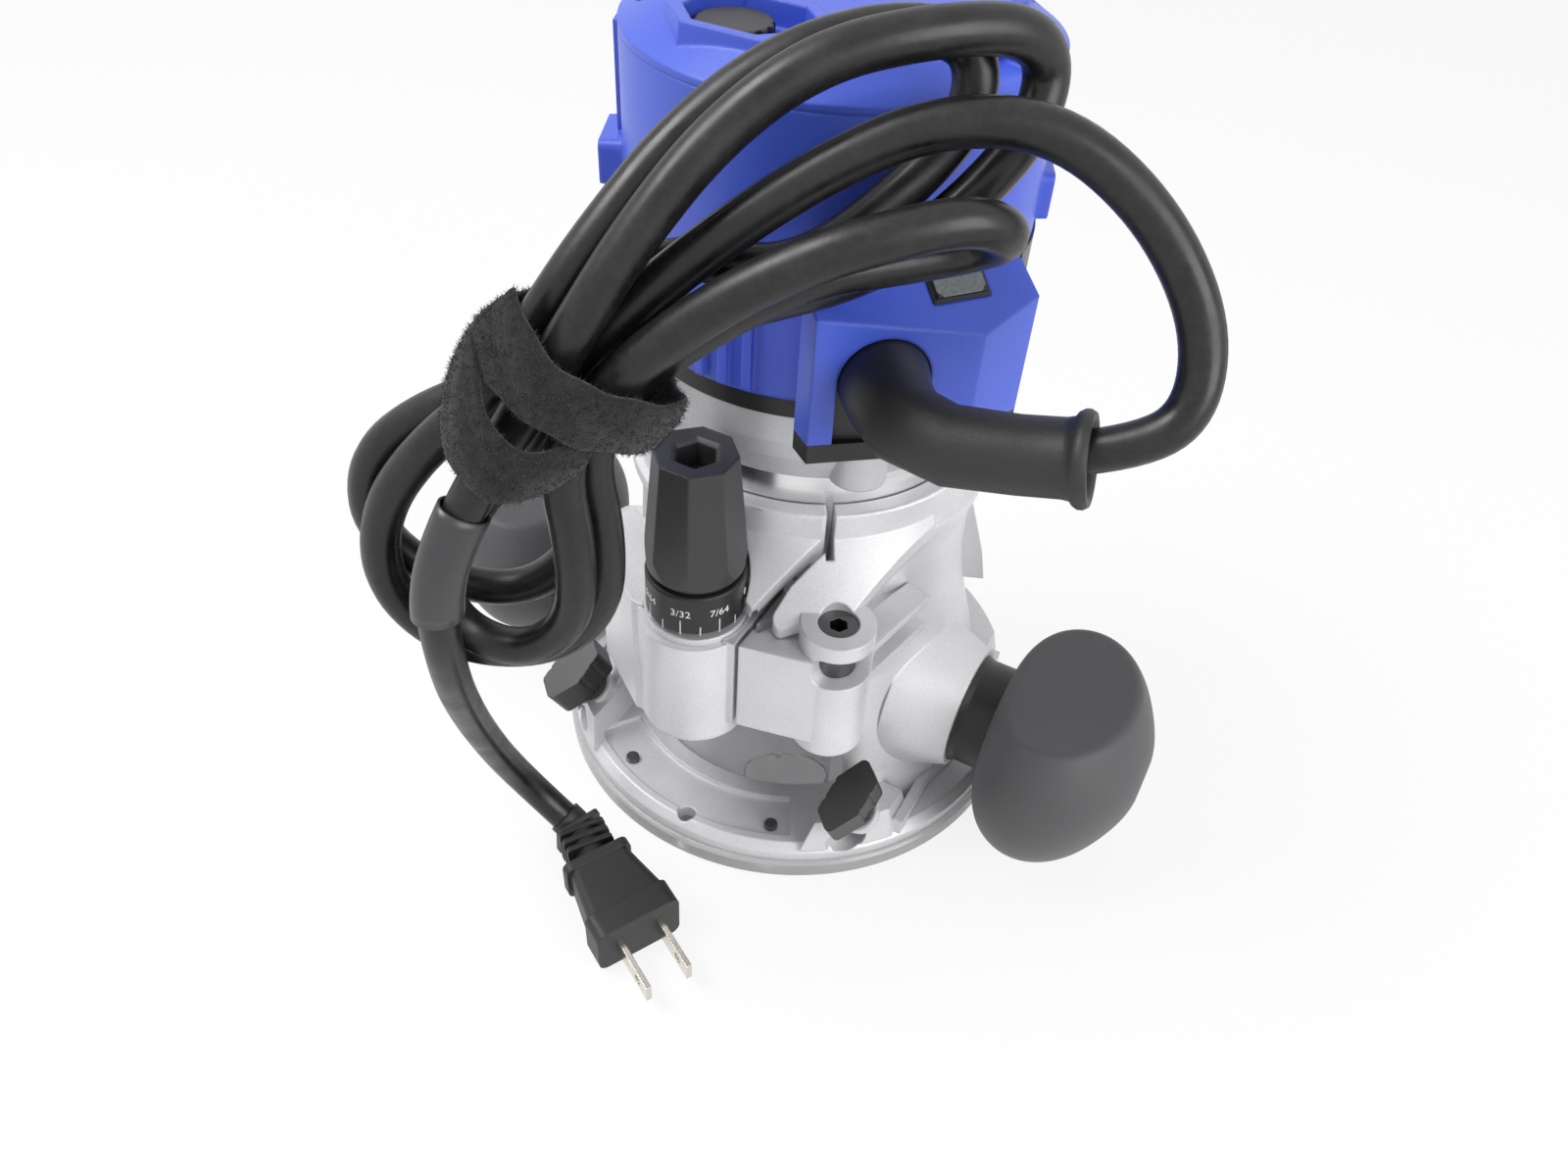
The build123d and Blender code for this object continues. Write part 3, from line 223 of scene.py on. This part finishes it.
def cord_jacket(name):
    """Extruded rubber jacket: near black, satin, with faint drag marks and scuffs."""
    finish = Finish(name, Specular_IOR_Level=0.42)
    drag, scuff = finish.noise(0.0016, 3, 0.6), finish.noise(0.01, 4, 0.6)
    drift = (0.5 * drag + 0.5 * scuff).span(0.35, 0.7)
    finish.feed("Base Color", finish.shade(drift, rgb(0.006, 0.006, 0.0065), rgb(0.019, 0.0185, 0.0185)))
    finish.feed("Roughness", 0.24 + 0.2 * scuff.span(0.3, 0.75) + 0.05 * drag)
    finish.relief(drag * 0.5 + scuff * 0.5, 0.00006)
    return finish.material


def glow_lens(name):
    """Smoked frosted lens in an eight-sided dark rim."""
    finish = Finish(name, Transmission_Weight=0.15, IOR=1.45)
    frost = finish.noise(0.0009, 3)
    centre, across, rise = (0.047, -0.0332, 0.1915), (0.62, 0.785, 0), (-0.658, 0.52, 0.546)
    half_width, half_height, corner = 0.0060, 0.0034, 0.0080
    wide, high = finish.along(centre, across).size(), finish.along(centre, rise).size()
    rim = ((wide > half_width) + (high > half_height) + (wide + high > corner)).clamp()
    glass = finish.shade(frost.span(0.3, 0.7), rgb(0.15, 0.17, 0.17), rgb(0.23, 0.26, 0.26))
    finish.feed("Base Color", finish.shade(rim, glass, rgb(0.012, 0.012, 0.016)))
    finish.feed("Roughness", 0.24 + 0.2 * frost + 0.1 * rim)
    finish.relief(frost * 0.4 - rim, 0.0001, 0.0004)
    return finish.material


FINISHES = {
    "casting": cast_aluminium("cast_aluminium", (0.76, 0.76, 0.78), (0.6, 0.6, 0.62)),
    "bell": cast_aluminium("bell_aluminium", (0.64, 0.64, 0.66), (0.5, 0.5, 0.52)),
    "barrel": turned_metal("turned_barrel", (0.8, 0.8, 0.81), 0.24),
    "blue": moulded("blue_housing", (0.058, 0.11, 0.62), 0.38, 0.0005, 0.00005, 0.0012, 0.06),
    "black": moulded("black_moulding", (0.017, 0.017, 0.018), 0.42, Specular_IOR_Level=0.4),
    "soft": moulded("soft_grip", (0.068, 0.068, 0.072), 0.55, 0.0005, 0.00006, 0.0012, Sheen_Weight=0.1),
    "knob": moulded("knob_grip", (0.03, 0.03, 0.032), 0.46, 0.0005, 0.00005, 0.001),
    "steel": turned_metal("bright_steel", (0.62, 0.61, 0.6), 0.28),
    "dark_steel": turned_metal("black_oxide_steel", (0.14, 0.14, 0.145), 0.36),
    "copper": turned_metal("copper", (0.78, 0.42, 0.28), 0.3),
    "core": stacked_steel("laminated_core"),
    "clear": clear_moulding("clear_moulding", (0.8, 0.8, 0.81), 0.1),
    "plate": clear_moulding("clear_plate", (0.66, 0.66, 0.67), 0.16, 0.5),
    "lens": glow_lens("smoked_lens"),
    "cord": cord_jacket("cord_jacket"),
    "pile": strap_pile("strap_pile"),
    "fibre": strap_pile("strap_fibre"),
    "label": moulded("bare_label", (0.042, 0.042, 0.045), 0.36, 0.003, 0.00003, 0.0002),
    "plug": moulded("plug_rubber", (0.019, 0.019, 0.02), 0.5, 0.0006, 0.00006, 0.0005),
    "blade": turned_metal("nickel_blade", (0.72, 0.68, 0.6), 0.22),
    "white": moulded("white_marks", (0.72, 0.72, 0.71), 0.5, 0.0003, 0.00001, 0.0, 0.04),
}

NODE_FINISH = {
    "base_casting": "casting", "index_ring": "casting", "motor_bell": "bell", "motor_barrel": "barrel",
    "motor_housing": "blue", "top_cap": "blue", "housing_band": "black", "rating_plate": "label",
    "power_lens": "lens", "brush_caps": "black", "cap_screws": "dark_steel", "speed_dial": "black",
    "speed_module": "black", "switch_case": "black", "power_switch": "black", "depth_arm": "steel",
    "stator_core": "core", "lower_bearing": "steel", "upper_bearing": "steel", "bearing_bracket": "black",
    "brush_holders": "copper", "spindle_shaft": "steel", "rotor_core": "core", "commutator": "copper",
    "cooling_fan": "black", "collet": "steel", "collet_nut": "dark_steel", "sub_base": "plate",
    "sub_base_screws": "dark_steel", "chip_shield": "clear", "handle_right": "soft", "handle_left": "soft",
    "handle_necks": "black", "handle_bolts": "dark_steel", "depth_scale_ring": "black",
    "depth_knob": "knob", "depth_screw": "steel", "clamp_spindle": "dark_steel",
    "guide_screw_right": "black", "guide_screw_left": "black", "cord_boot": "plug",
    "plug_body": "plug", "plug_blades": "blade",
}
for node, finish in NODE_FINISH.items():
    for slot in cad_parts[node].material_slots:
        slot.material = FINISHES[finish]


# ---- mesh helpers --------------------------------------------------------------------------------
def piece(name, points, faces, finish, smooth=True):
    """A mesh in the row frame, with its finish."""
    mesh = bpy.data.meshes.new(name)
    mesh.from_pydata([tuple(p) for p in points], [], faces)
    made = bpy.data.objects.new(name, mesh)
    bpy.context.collection.objects.link(made)
    mesh.materials.append(FINISHES[finish])
    mesh.polygons.foreach_set("use_smooth", [smooth] * len(mesh.polygons))
    mesh.update()
    return made


def outward(made):
    """Doubled points are merged and the normals point outwards."""
    work = bmesh.new()
    work.from_mesh(made.data)
    bmesh.ops.remove_doubles(work, verts=work.verts, dist=1e-6)
    bmesh.ops.recalc_face_normals(work, faces=work.faces)
    work.to_mesh(made.data)
    work.free()


def baked_mesh(made):
    """The mesh of an object with its modifiers or its curve worked out."""
    return bpy.data.meshes.new_from_object(made.evaluated_get(bpy.context.evaluated_depsgraph_get()))


def settle(made, body):
    """Modifiers are made part of the mesh, and the piece rides on its body."""
    mesh = baked_mesh(made)
    made.modifiers.clear()
    made.data = mesh
    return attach(made, body)


# ---- cord ----------------------------------------------------------------------------------------
CORD_DIAMETER = 9.0 * MM
CORD_ROUTE = [
    (84, -61.5, 178.5), (97.5, -57.5, 183), (104, -51.5, 191), (99.5, -45.5, 206), (84.5, -43.5, 222.5),
    (65, -48, 234.5), (46, -57, 233.5), (31, -68, 225.5), (15.5, -82, 212.5), (-4, -95, 191.5),
    (-14, -101, 172.5), (-26, -111, 152), (-34.5, -118.5, 133), (-31.5, -116, 116), (-17, -112, 112),
    (-4.5, -107.5, 124.5), (-2.5, -107, 146), (-6, -106.5, 170), (4.5, -101, 188.5), (20, -93, 204.5),
    (35.5, -85, 215.5), (47, -77, 220), (58.5, -67, 222.5), (64, -57, 217), (55.5, -50.5, 209),
    (44, -60, 207), (30, -79, 208), (4, -91, 186), (-6.5, -96.5, 167), (-4, -94, 141),
    (-5.5, -95.5, 117.5), (-19.5, -102, 102), (-39.5, -112.5, 103), (-51, -118.5, 121),
    (-48.5, -117.5, 144), (-37, -112, 163), (-22, -105, 178), (-11.5, -99.5, 197), (-5, -89.5, 211),
    (2.5, -73, 226), (14, -58, 237.5), (28, -45, 242.5), (42.5, -34.5, 241.5), (46.5, -36.5, 229),
    (38.5, -46.5, 215), (26, -70, 203), (5, -76.5, 205), (-12, -89.5, 194), (-22.5, -95, 175.5),
    (-41.5, -102, 166.5), (-56.5, -109.5, 152.5), (-60, -111.5, 132), (-48.5, -105, 115),
    (-30.5, -95, 111), (-17.5, -87.5, 124.5), (-14, -86.5, 146), (-14.5, -90.5, 170), (-4.5, -85, 188.5),
    (18, -68, 193.5), (37, -53, 200), (50, -43, 214), (57.5, -36, 227), (57, -29, 237),
    (53.5, -37.5, 245.5), (41, -53, 246.5), (26, -66, 242.5), (14, -79, 231), (5, -93, 214.5),
    (-3.5, -105.5, 194), (-13.5, -111, 175.5), (-20, -121, 159), (-25, -127.5, 140.5),
    (-27.5, -126, 115.5), (-38, -114, 82), (-46, -99, 44), (-44, -89, 17), (-32, -88.8, 9),
]


def cord_spline(name, bevel):
    """A smooth curve along the cord's route, with this radius."""
    curve = bpy.data.curves.new(name, "CURVE")
    curve.dimensions = "3D"
    spline = curve.splines.new("NURBS")
    spline.points.add(len(CORD_ROUTE) - 1)
    for point, place in zip(spline.points, CORD_ROUTE):
        point.co = (*(c * MM for c in place), 1.0)
    spline.order_u = 3
    spline.use_endpoint_u = True
    spline.resolution_u = 8
    curve.bevel_depth = bevel
    curve.bevel_resolution = 6
    curve.use_fill_caps = True
    made = bpy.data.objects.new(name, curve)
    bpy.context.collection.objects.link(made)
    return made


flex = cord_spline("power_cord", CORD_DIAMETER / 2)
flex.data.materials.append(FINISHES["cord"])
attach(flex, "motor")
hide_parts("cord_lead", "cord_middle", "cord_back", "cord_tail")

guide = cord_spline("cord_guide", 0.0)
CORD_LINE = np.array([tuple(v.co) for v in baked_mesh(guide).vertices])
bpy.data.objects.remove(guide)


def along_cord(low, high, near):
    """The cord's line between two heights, on the run that passes nearest a point."""
    nearest = int(np.argmin(np.linalg.norm(CORD_LINE - np.array(near), axis=1)))
    first, last = nearest, nearest
    while first > 0 and low <= CORD_LINE[first - 1][2] <= high:
        first -= 1
    while last < len(CORD_LINE) - 1 and low <= CORD_LINE[last + 1][2] <= high:
        last += 1
    return CORD_LINE[first:last + 1]


def frames(line):
    """Unit direction, side and up at each point of a line, without twist."""
    steps = np.gradient(line, axis=0)
    heading = steps / np.linalg.norm(steps, axis=1)[:, None]
    side = np.cross(heading[0], (0.3, 0.4, 0.87))
    side /= np.linalg.norm(side)
    result = []
    for ahead in heading:
        side = side - ahead * (side @ ahead)
        side /= np.linalg.norm(side)
        result.append((ahead, side, np.cross(ahead, side)))
    return result


def tube_mesh(rings, around):
    """Points and side faces of a tube through rings of equally many points."""
    points = [point for ring in rings for point in ring]
    faces = []
    for first in range(0, len(points) - around, around):
        for k in range(around):
            m = (k + 1) % around
            faces.append((first + k, first + m, first + around + m, first + around + k))
    return points, faces


def smooth_path(stops, steps):
    """Rows of numbers eased through by a Catmull-Rom curve."""
    stops = np.array(stops, float)
    ends = np.vstack([2 * stops[0] - stops[1], stops, 2 * stops[-1] - stops[-2]])
    rows = []
    for a, b, c, d in zip(ends, ends[1:], ends[2:], ends[3:]):
        for t in np.linspace(0, 1, steps, endpoint=False):
            rows.append(0.5 * (2 * b + (c - a) * t + (2 * a - 5 * b + 4 * c - d) * t * t
                               + (3 * b - a - 3 * c + d) * t ** 3))
    rows.append(stops[-1])
    return rows


# ---- cord boot -----------------------------------------------------------------------------------
BOOT_PATH = [(38.5, -48.5, 174), (42.5, -54.5, 173.8), (48, -61, 173.7), (56, -65.8, 174), (66, -66, 175.2),
             (77.5, -62.8, 176.2), (88.5, -61, 178.6)]
# share of the way along, radius: outside to the lip, then back down the open mouth
BOOT_OUTSIDE = [(0.0, 10.2), (0.12, 10.0), (0.25, 9.4), (0.4, 8.9), (0.6, 8.4), (0.8, 8.1), (0.93, 8.1),
                (0.955, 8.4), (0.965, 9.3), (0.98, 9.9), (0.995, 9.9), (1.01, 9.3)]
BOOT_INSIDE = [(1.01, 8.3), (1.0, 7.5), (0.96, 6.8), (0.9, 6.2), (0.8, 5.4), (0.7, 4.7)]
# the arched base that fills the seat: half width, foot below the path, and its two faces along the way out
SEAT_R, SEAT_FOOT, SEAT_FACES = 10.2, -16.3, (-0.5, 2.4)
SEAT_ACROSS, SEAT_UP, SEAT_OUT = Vector((0.829, 0.56, 0)), Vector((0, 0, 1)), Vector((0.56, -0.829, 0))


def boot_skin():
    """Moulded strain relief: fills its arched seat, tapers to a rolled lip and stays open round the cord."""
    line = np.array(smooth_path(BOOT_PATH, 12)) * MM
    count = len(line) - 1
    past_end = line[-1] + (line[-1] - line[-2]) * np.arange(1, 4)[:, None]
    line = np.vstack([line, past_end])
    marks = np.arange(len(line)) / count
    turned = frames(line)
    around, rings = 48, []
    angles = [2 * math.pi * k / around for k in range(around)]
    for share, radius in BOOT_OUTSIDE + BOOT_INSIDE:
        centre = np.array([np.interp(share, marks, line[:, axis]) for axis in range(3)])
        _, side, up = turned[min(int(round(share * count)), len(turned) - 1)]
        rings.append([centre + radius * MM * (math.cos(a) * side + math.sin(a) * up) for a in angles])
    points, faces = tube_mesh(rings, around)
    faces.append(tuple(range(around)))
    faces.append(tuple(range(len(points) - around, len(points))))

    first = len(points)
    arch = [(SEAT_R * math.cos(a), SEAT_R * math.sin(a)) for a in np.linspace(0, math.pi, 25)]
    arch += [(-SEAT_R, SEAT_FOOT), (SEAT_R, SEAT_FOOT)]
    for depth in SEAT_FACES:
        points += [Vector(BOOT_PATH[0]) * MM + (SEAT_ACROSS * x + SEAT_UP * y + SEAT_OUT * depth) * MM
                   for x, y in arch]
    n = len(arch)
    faces.append(tuple(first + k for k in range(n)))
    faces.append(tuple(first + n + k for k in range(n)))
    faces += [(first + k, first + (k + 1) % n, first + n + (k + 1) % n, first + n + k) for k in range(n)]
    made = piece("boot_skin", points, faces, "plug")
    outward(made)
    made.modifiers.new("crisp edges", "EDGE_SPLIT").split_angle = math.radians(50)
    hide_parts("cord_boot")
    return settle(made, "motor")


boot = boot_skin()


# ---- wrap label on the tail ----------------------------------------------------------------------
LABEL_HEIGHTS = (0.131, 0.160)
LABEL_NEAR = (-0.0225, -0.124, 0.145)
LABEL_R, LABEL_WALL, LABEL_FLARE = 0.0053, 0.0006, 0.09
# the ridge where the ends meet: height, place round the cord and breadth in radians
RIDGE_HEIGHT, RIDGE_AT, RIDGE_BREADTH = 0.0009, 2.2, 0.16


def wrap_label():
    """Thin vinyl sleeve round the cord, its two ends stuck together as a low ridge."""
    line = along_cord(*LABEL_HEIGHTS, LABEL_NEAR)
    around, outside, inside = 48, [], []
    for rings, wall in ((outside, 0), (inside, LABEL_WALL)):
        for centre, (_, side, up) in zip(line, frames(line)):
            ring = []
            for k in range(around):
                angle = 2 * math.pi * k / around
                flare = 1.0 + LABEL_FLARE * math.cos(2 * angle)
                ridge = RIDGE_HEIGHT * math.exp(-((angle - RIDGE_AT) / RIDGE_BREADTH) ** 2)
                radius = LABEL_R * flare + ridge - wall
                ring.append(centre + radius * (math.cos(angle) * side + math.sin(angle) * up))
            rings.append(ring)
    points, faces = tube_mesh(outside + inside[::-1], around)
    last = len(points) - around
    faces += [(last + k, last + (k + 1) % around, (k + 1) % around, k) for k in range(around)]
    made = piece("tail_label", points, faces, "label")
    outward(made)
    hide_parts("cord_label")
    return settle(made, "motor")


label = wrap_label()


# ---- hook-and-loop strap -------------------------------------------------------------------------
STRAP_CENTRE = Vector((-9.0, -98.0, 182.0)) * MM
STRAP_AXIS = Vector((0.461, 0.250, 0.851)).normalized()
STRAP_NEAR = STRAP_AXIS.cross(Vector((0, 0, 1))).normalized()
STRAP_RIGHT = STRAP_AXIS.cross(STRAP_NEAR)
# angle from the near side towards the right in degrees, radius, shift along the axis, half width, lean
STRAP_PATH = [
    (32, 16.0, -1.0, 6.0, -8), (16, 18.0, -6.5, 6.4, -8), (-6, 21.0, -10.8, 6.6, -8),
    (-30, 21.8, -10.6, 7.0, -6), (-52, 21.0, -6.0, 8.0, 0), (-74, 20.2, -2.0, 8.0, 4),
    (-95, 18.2, 0.5, 7.2, 0), (-135, 16.4, 2.0, 6.6, 0), (-180, 16.4, 2.5, 6.6, 0),
    (-225, 18.6, 2.5, 6.6, 0), (-262, 19.0, 4.0, 6.8, 0), (-285, 21.0, 6.5, 7.0, 0),
    (-305, 19.6, 7.0, 7.0, 0), (-330, 17.6, 6.5, 7.0, -2), (-360, 17.3, 6.3, 7.0, -2),
    (-392, 17.6, 6.6, 7.0, -4), (-412, 18.6, 8.0, 7.8, -6), (-430, 20.0, 9.2, 8.2, -8),
]
STRAP_THICKNESS = 1.5 * MM
FIBRES = {"Fibres per square metre": 2.0e6, "Fibre length": 0.0012, "Fibre radius": 0.00008}
FIBRE_LEAN = Vector((1.1, 1.1, 3.1))


def hook_and_loop():
    """Wide strap wound once and a bit round the hank, bowed across and slightly uneven."""
    across = 8
    points, faces = [], []
    rows = smooth_path(STRAP_PATH, 10)
    for angle, radius, shift, half, lean in rows:
        turn = math.radians(angle)
        out = STRAP_NEAR * math.cos(turn) + STRAP_RIGHT * math.sin(turn)
        tilt = math.radians(lean)
        for k in range(across + 1):
            s = 2 * k / across - 1
            bow = 0.8 * (1 - s * s) + 0.2 * math.sin(5 * s + angle * 0.11)
            reach = radius + half * s * math.sin(tilt) + bow
            rise = shift + half * s * math.cos(tilt) + 0.35 * math.sin(angle * 0.17)
            points.append(STRAP_CENTRE + out * reach * MM + STRAP_AXIS * rise * MM)
    for r in range(len(rows) - 1):
        for k in range(across):
            a = r * (across + 1) + k
            faces.append((a, a + 1, a + across + 2, a + across + 1))
    made = piece("cord_strap", points, faces, "pile")
    thick = made.modifiers.new("thickness", "SOLIDIFY")
    thick.thickness, thick.offset = STRAP_THICKNESS, 0.0
    smooth = made.modifiers.new("soften", "SUBSURF")
    smooth.levels = smooth.render_levels = 2
    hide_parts("cord_tie")
    return settle(made, "motor")


def fuzz_tree():
    """Node tree that plants short leaning fibres all over a surface."""
    tree = bpy.data.node_groups.new("strap_fuzz", "GeometryNodeTree")
    tree.interface.new_socket("Surface", in_out="INPUT", socket_type="NodeSocketGeometry")
    for name in FIBRES:
        tree.interface.new_socket(name, in_out="INPUT", socket_type="NodeSocketFloat")
    tree.interface.new_socket("Fibres", in_out="OUTPUT", socket_type="NodeSocketGeometry")

    def add(kind, sockets, **settings):
        node = tree.nodes.new(kind)
        for name, value in settings.items():
            setattr(node, name, value)
        for name, value in sockets.items():
            if isinstance(value, bpy.types.NodeSocket):
                tree.links.new(value, node.inputs[name])
            else:
                node.inputs[name].default_value = value
        return node

    given = add("NodeGroupInput", {}).outputs
    spots = add("GeometryNodeDistributePointsOnFaces",
                {"Mesh": given["Surface"], "Density": given["Fibres per square metre"], "Seed": 4}).outputs
    fibre = add("GeometryNodeMeshCone",
                {"Vertices": 3, "Radius Bottom": given["Fibre radius"], "Depth": given["Fibre length"]})
    lean = add("FunctionNodeRandomValue", {"Min": -FIBRE_LEAN, "Max": FIBRE_LEAN, "Seed": 9},
               data_type="FLOAT_VECTOR")
    as_turn = add("FunctionNodeEulerToRotation", {0: lean.outputs["Value"]})
    tilted = add("FunctionNodeRotateRotation", {0: spots["Rotation"], 1: as_turn.outputs[0]},
                 rotation_space="LOCAL")
    planted = add("GeometryNodeInstanceOnPoints",
                  {"Points": spots["Points"], "Instance": fibre.outputs[0], "Rotation": tilted.outputs[0]})
    real = add("GeometryNodeRealizeInstances", {"Geometry": planted.outputs[0]})
    coat = add("GeometryNodeSetMaterial", {"Geometry": real.outputs[0], "Material": FINISHES["fibre"]})
    add("NodeGroupOutput", {0: coat.outputs[0]})
    return tree


def fuzz(surface):
    """Fibres all over a copy of a surface."""
    made = bpy.data.objects.new("strap_fuzz", surface.data.copy())
    bpy.context.collection.objects.link(made)
    nodes = made.modifiers.new("fuzz", "NODES")
    nodes.node_group = fuzz_tree()
    sockets = nodes.node_group.interface.items_tree
    for name, value in FIBRES.items():
        nodes[sockets[name].identifier] = value
    return settle(made, "motor")


strap = hook_and_loop()
strap_fuzz = fuzz(strap)


# ---- dial marks ----------------------------------------------------------------------------------
RING_CENTRE = Vector((0, -63.0, 0)) * MM
RING_R = 13.2 * MM
RING_MARKS = ["1/64", "1/32", "3/64", "1/16", "5/64", "3/32", "7/64", "0"]
# the sixth mark, 3/32, faces the front
RING_FIRST = math.radians(-76 - 45 * 5)
TICK_HALF, TICK_FOOT, LONG_TICK_TOP, SHORT_TICK_TOP = 0.00014, 0.0974, 0.1022, 0.1004
MARK_SUNK, MARK_PROUD = -0.0001, 0.00006
NUMBER_SIZE, NUMBER_FOOT, NUMBER_PROUD = 0.0031, 0.1036, 0.00008
# four points round the back of a box, then four round its front
BOX_FACES = ((4, 5, 6, 7), (0, 1, 5, 4), (1, 2, 6, 5), (2, 3, 7, 6), (3, 0, 4, 7), (3, 2, 1, 0))


def on_ring(sideways, height, proud):
    """A point on the scale ring, sideways along its curve from the first mark."""
    angle = RING_FIRST + sideways / RING_R
    reach = RING_R + proud
    return (RING_CENTRE.x + reach * math.cos(angle), RING_CENTRE.y + reach * math.sin(angle), height)


def ring_marks():
    """Marks wrapped round the depth scale ring: number and long tick at each 1/64 inch, short tick between."""
    points, faces = [], []
    ticks = 2 * len(RING_MARKS)
    pitch = 2 * math.pi * RING_R / ticks
    for k in range(ticks):
        top = SHORT_TICK_TOP if k % 2 else LONG_TICK_TOP
        left, right = k * pitch - TICK_HALF, k * pitch + TICK_HALF
        faces += [tuple(len(points) + corner for corner in quad) for quad in BOX_FACES]
        for proud in (MARK_SUNK, MARK_PROUD):
            for sideways, height in ((left, TICK_FOOT), (right, TICK_FOOT), (right, top), (left, top)):
                points.append(on_ring(sideways, height, proud))
    settle(piece("ring_ticks", points, faces, "white", smooth=False), "scale_ring")

    for k, text in enumerate(RING_MARKS):
        words = bpy.data.curves.new(f"ring_number_{k}", "FONT")
        words.body, words.size, words.align_x, words.extrude = text, NUMBER_SIZE, "CENTER", NUMBER_PROUD
        flat = bpy.data.objects.new("flat", words)
        bpy.context.collection.objects.link(flat)
        mesh = baked_mesh(flat)
        bpy.data.objects.remove(flat)
        for v in mesh.vertices:
            v.co = on_ring(2 * k * pitch + v.co.x, NUMBER_FOOT + v.co.y, v.co.z)
        made = bpy.data.objects.new(f"ring_number_{k}", mesh)
        bpy.context.collection.objects.link(made)
        mesh.materials.clear()
        mesh.materials.append(FINISHES["white"])
        outward(made)
        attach(made, "scale_ring")


ring_marks()


# ---- floor, light, camera ------------------------------------------------------------------------
def seen_directly(tree):
    """1 where the camera looks, straight or by way of a mirror or glass, and 0 in the light thrown."""
    rays = tree.nodes.new("ShaderNodeLightPath").outputs
    total = rays["Is Camera Ray"]
    for name in ("Is Glossy Ray", "Is Transmission Ray"):
        more = tree.nodes.new("ShaderNodeMath")
        more.operation, more.use_clamp = "ADD", True
        tree.links.new(total, more.inputs[0])
        tree.links.new(rays[name], more.inputs[1])
        total = more.outputs[0]
    return total


def pale_floor():
    """Matt white that also glows a little where it is looked at, so that it fades into the background."""
    finish = Finish("pale_floor", Roughness=0.6, Base_Color=rgb(0.9, 0.9, 0.9))
    seen = Value(finish, seen_directly(finish.tree))
    glow = finish.node("ShaderNodeEmission", {}, {"Color": rgb(1, 1, 1)})
    matt = Value(finish, finish.surface.outputs[0])
    mixed = finish.node("ShaderNodeMixShader", {}, {0: seen * FLOOR_GLOW, 1: matt, 2: glow})
    finish.tree.links.new(mixed.socket, finish.out.inputs["Surface"])
    return finish.material


# how far the floor glows, how strongly the surroundings light the part, and a hair's gap under the part
FLOOR_GLOW, ROOM_LIGHT, FLOOR_GAP = 0.85, 0.42, 0.0002
PART_MIDDLE = Vector((0, 0, 0.12))

bpy.ops.mesh.primitive_plane_add(size=30, location=(0, 0, -FLOOR_GAP))
floor = bpy.context.object
floor.name = "floor"
floor.data.materials.append(pale_floor())

world = bpy.data.worlds.new("studio")
bpy.context.scene.world = world
world.use_nodes = True
sky = world.node_tree
background = sky.nodes["Background"]
background.inputs["Color"].default_value = rgb(1, 1, 1)
level = sky.nodes.new("ShaderNodeMapRange")
level.inputs["To Min"].default_value = ROOM_LIGHT
level.inputs["To Max"].default_value = 1.0
sky.links.new(seen_directly(sky), level.inputs["Value"])
sky.links.new(level.outputs[0], background.inputs["Strength"])


def softbox(name, place, size, watts):
    """Square lamp at a place, aimed at the middle of the part."""
    lamp = bpy.data.lights.new(name, "AREA")
    lamp.shape, lamp.size, lamp.energy = "SQUARE", size, watts
    made = bpy.data.objects.new(name, lamp)
    bpy.context.collection.objects.link(made)
    made.location = place
    made.rotation_euler = (PART_MIDDLE - Vector(place)).to_track_quat("-Z", "Y").to_euler()


softbox("key", (-0.5, -0.35, 1.0), 0.5, 9.0)
softbox("fill", (0.95, -0.25, 0.55), 0.7, 7.0)

camera = bpy.data.objects.new("camera", bpy.data.cameras.new("camera"))
bpy.context.collection.objects.link(camera)
CAMERA_AT = (0.1179, -0.2539, 0.3145)
CAMERA_RIGHT = (0.877, 0.478, 0.0515)
CAMERA_UP = (-0.361, 0.585, 0.725)
CAMERA_BACK = (0.317, -0.655, 0.686)
turn = Matrix((CAMERA_RIGHT, CAMERA_UP, CAMERA_BACK)).transposed()
camera.matrix_world = Matrix.Translation(CAMERA_AT) @ turn.to_quaternion().to_matrix().to_4x4()
camera.data.lens, camera.data.sensor_width, camera.data.clip_start = 27.0, 36.0, 0.01
bpy.context.scene.camera = camera
bpy.context.scene.view_settings.view_transform = "Standard"
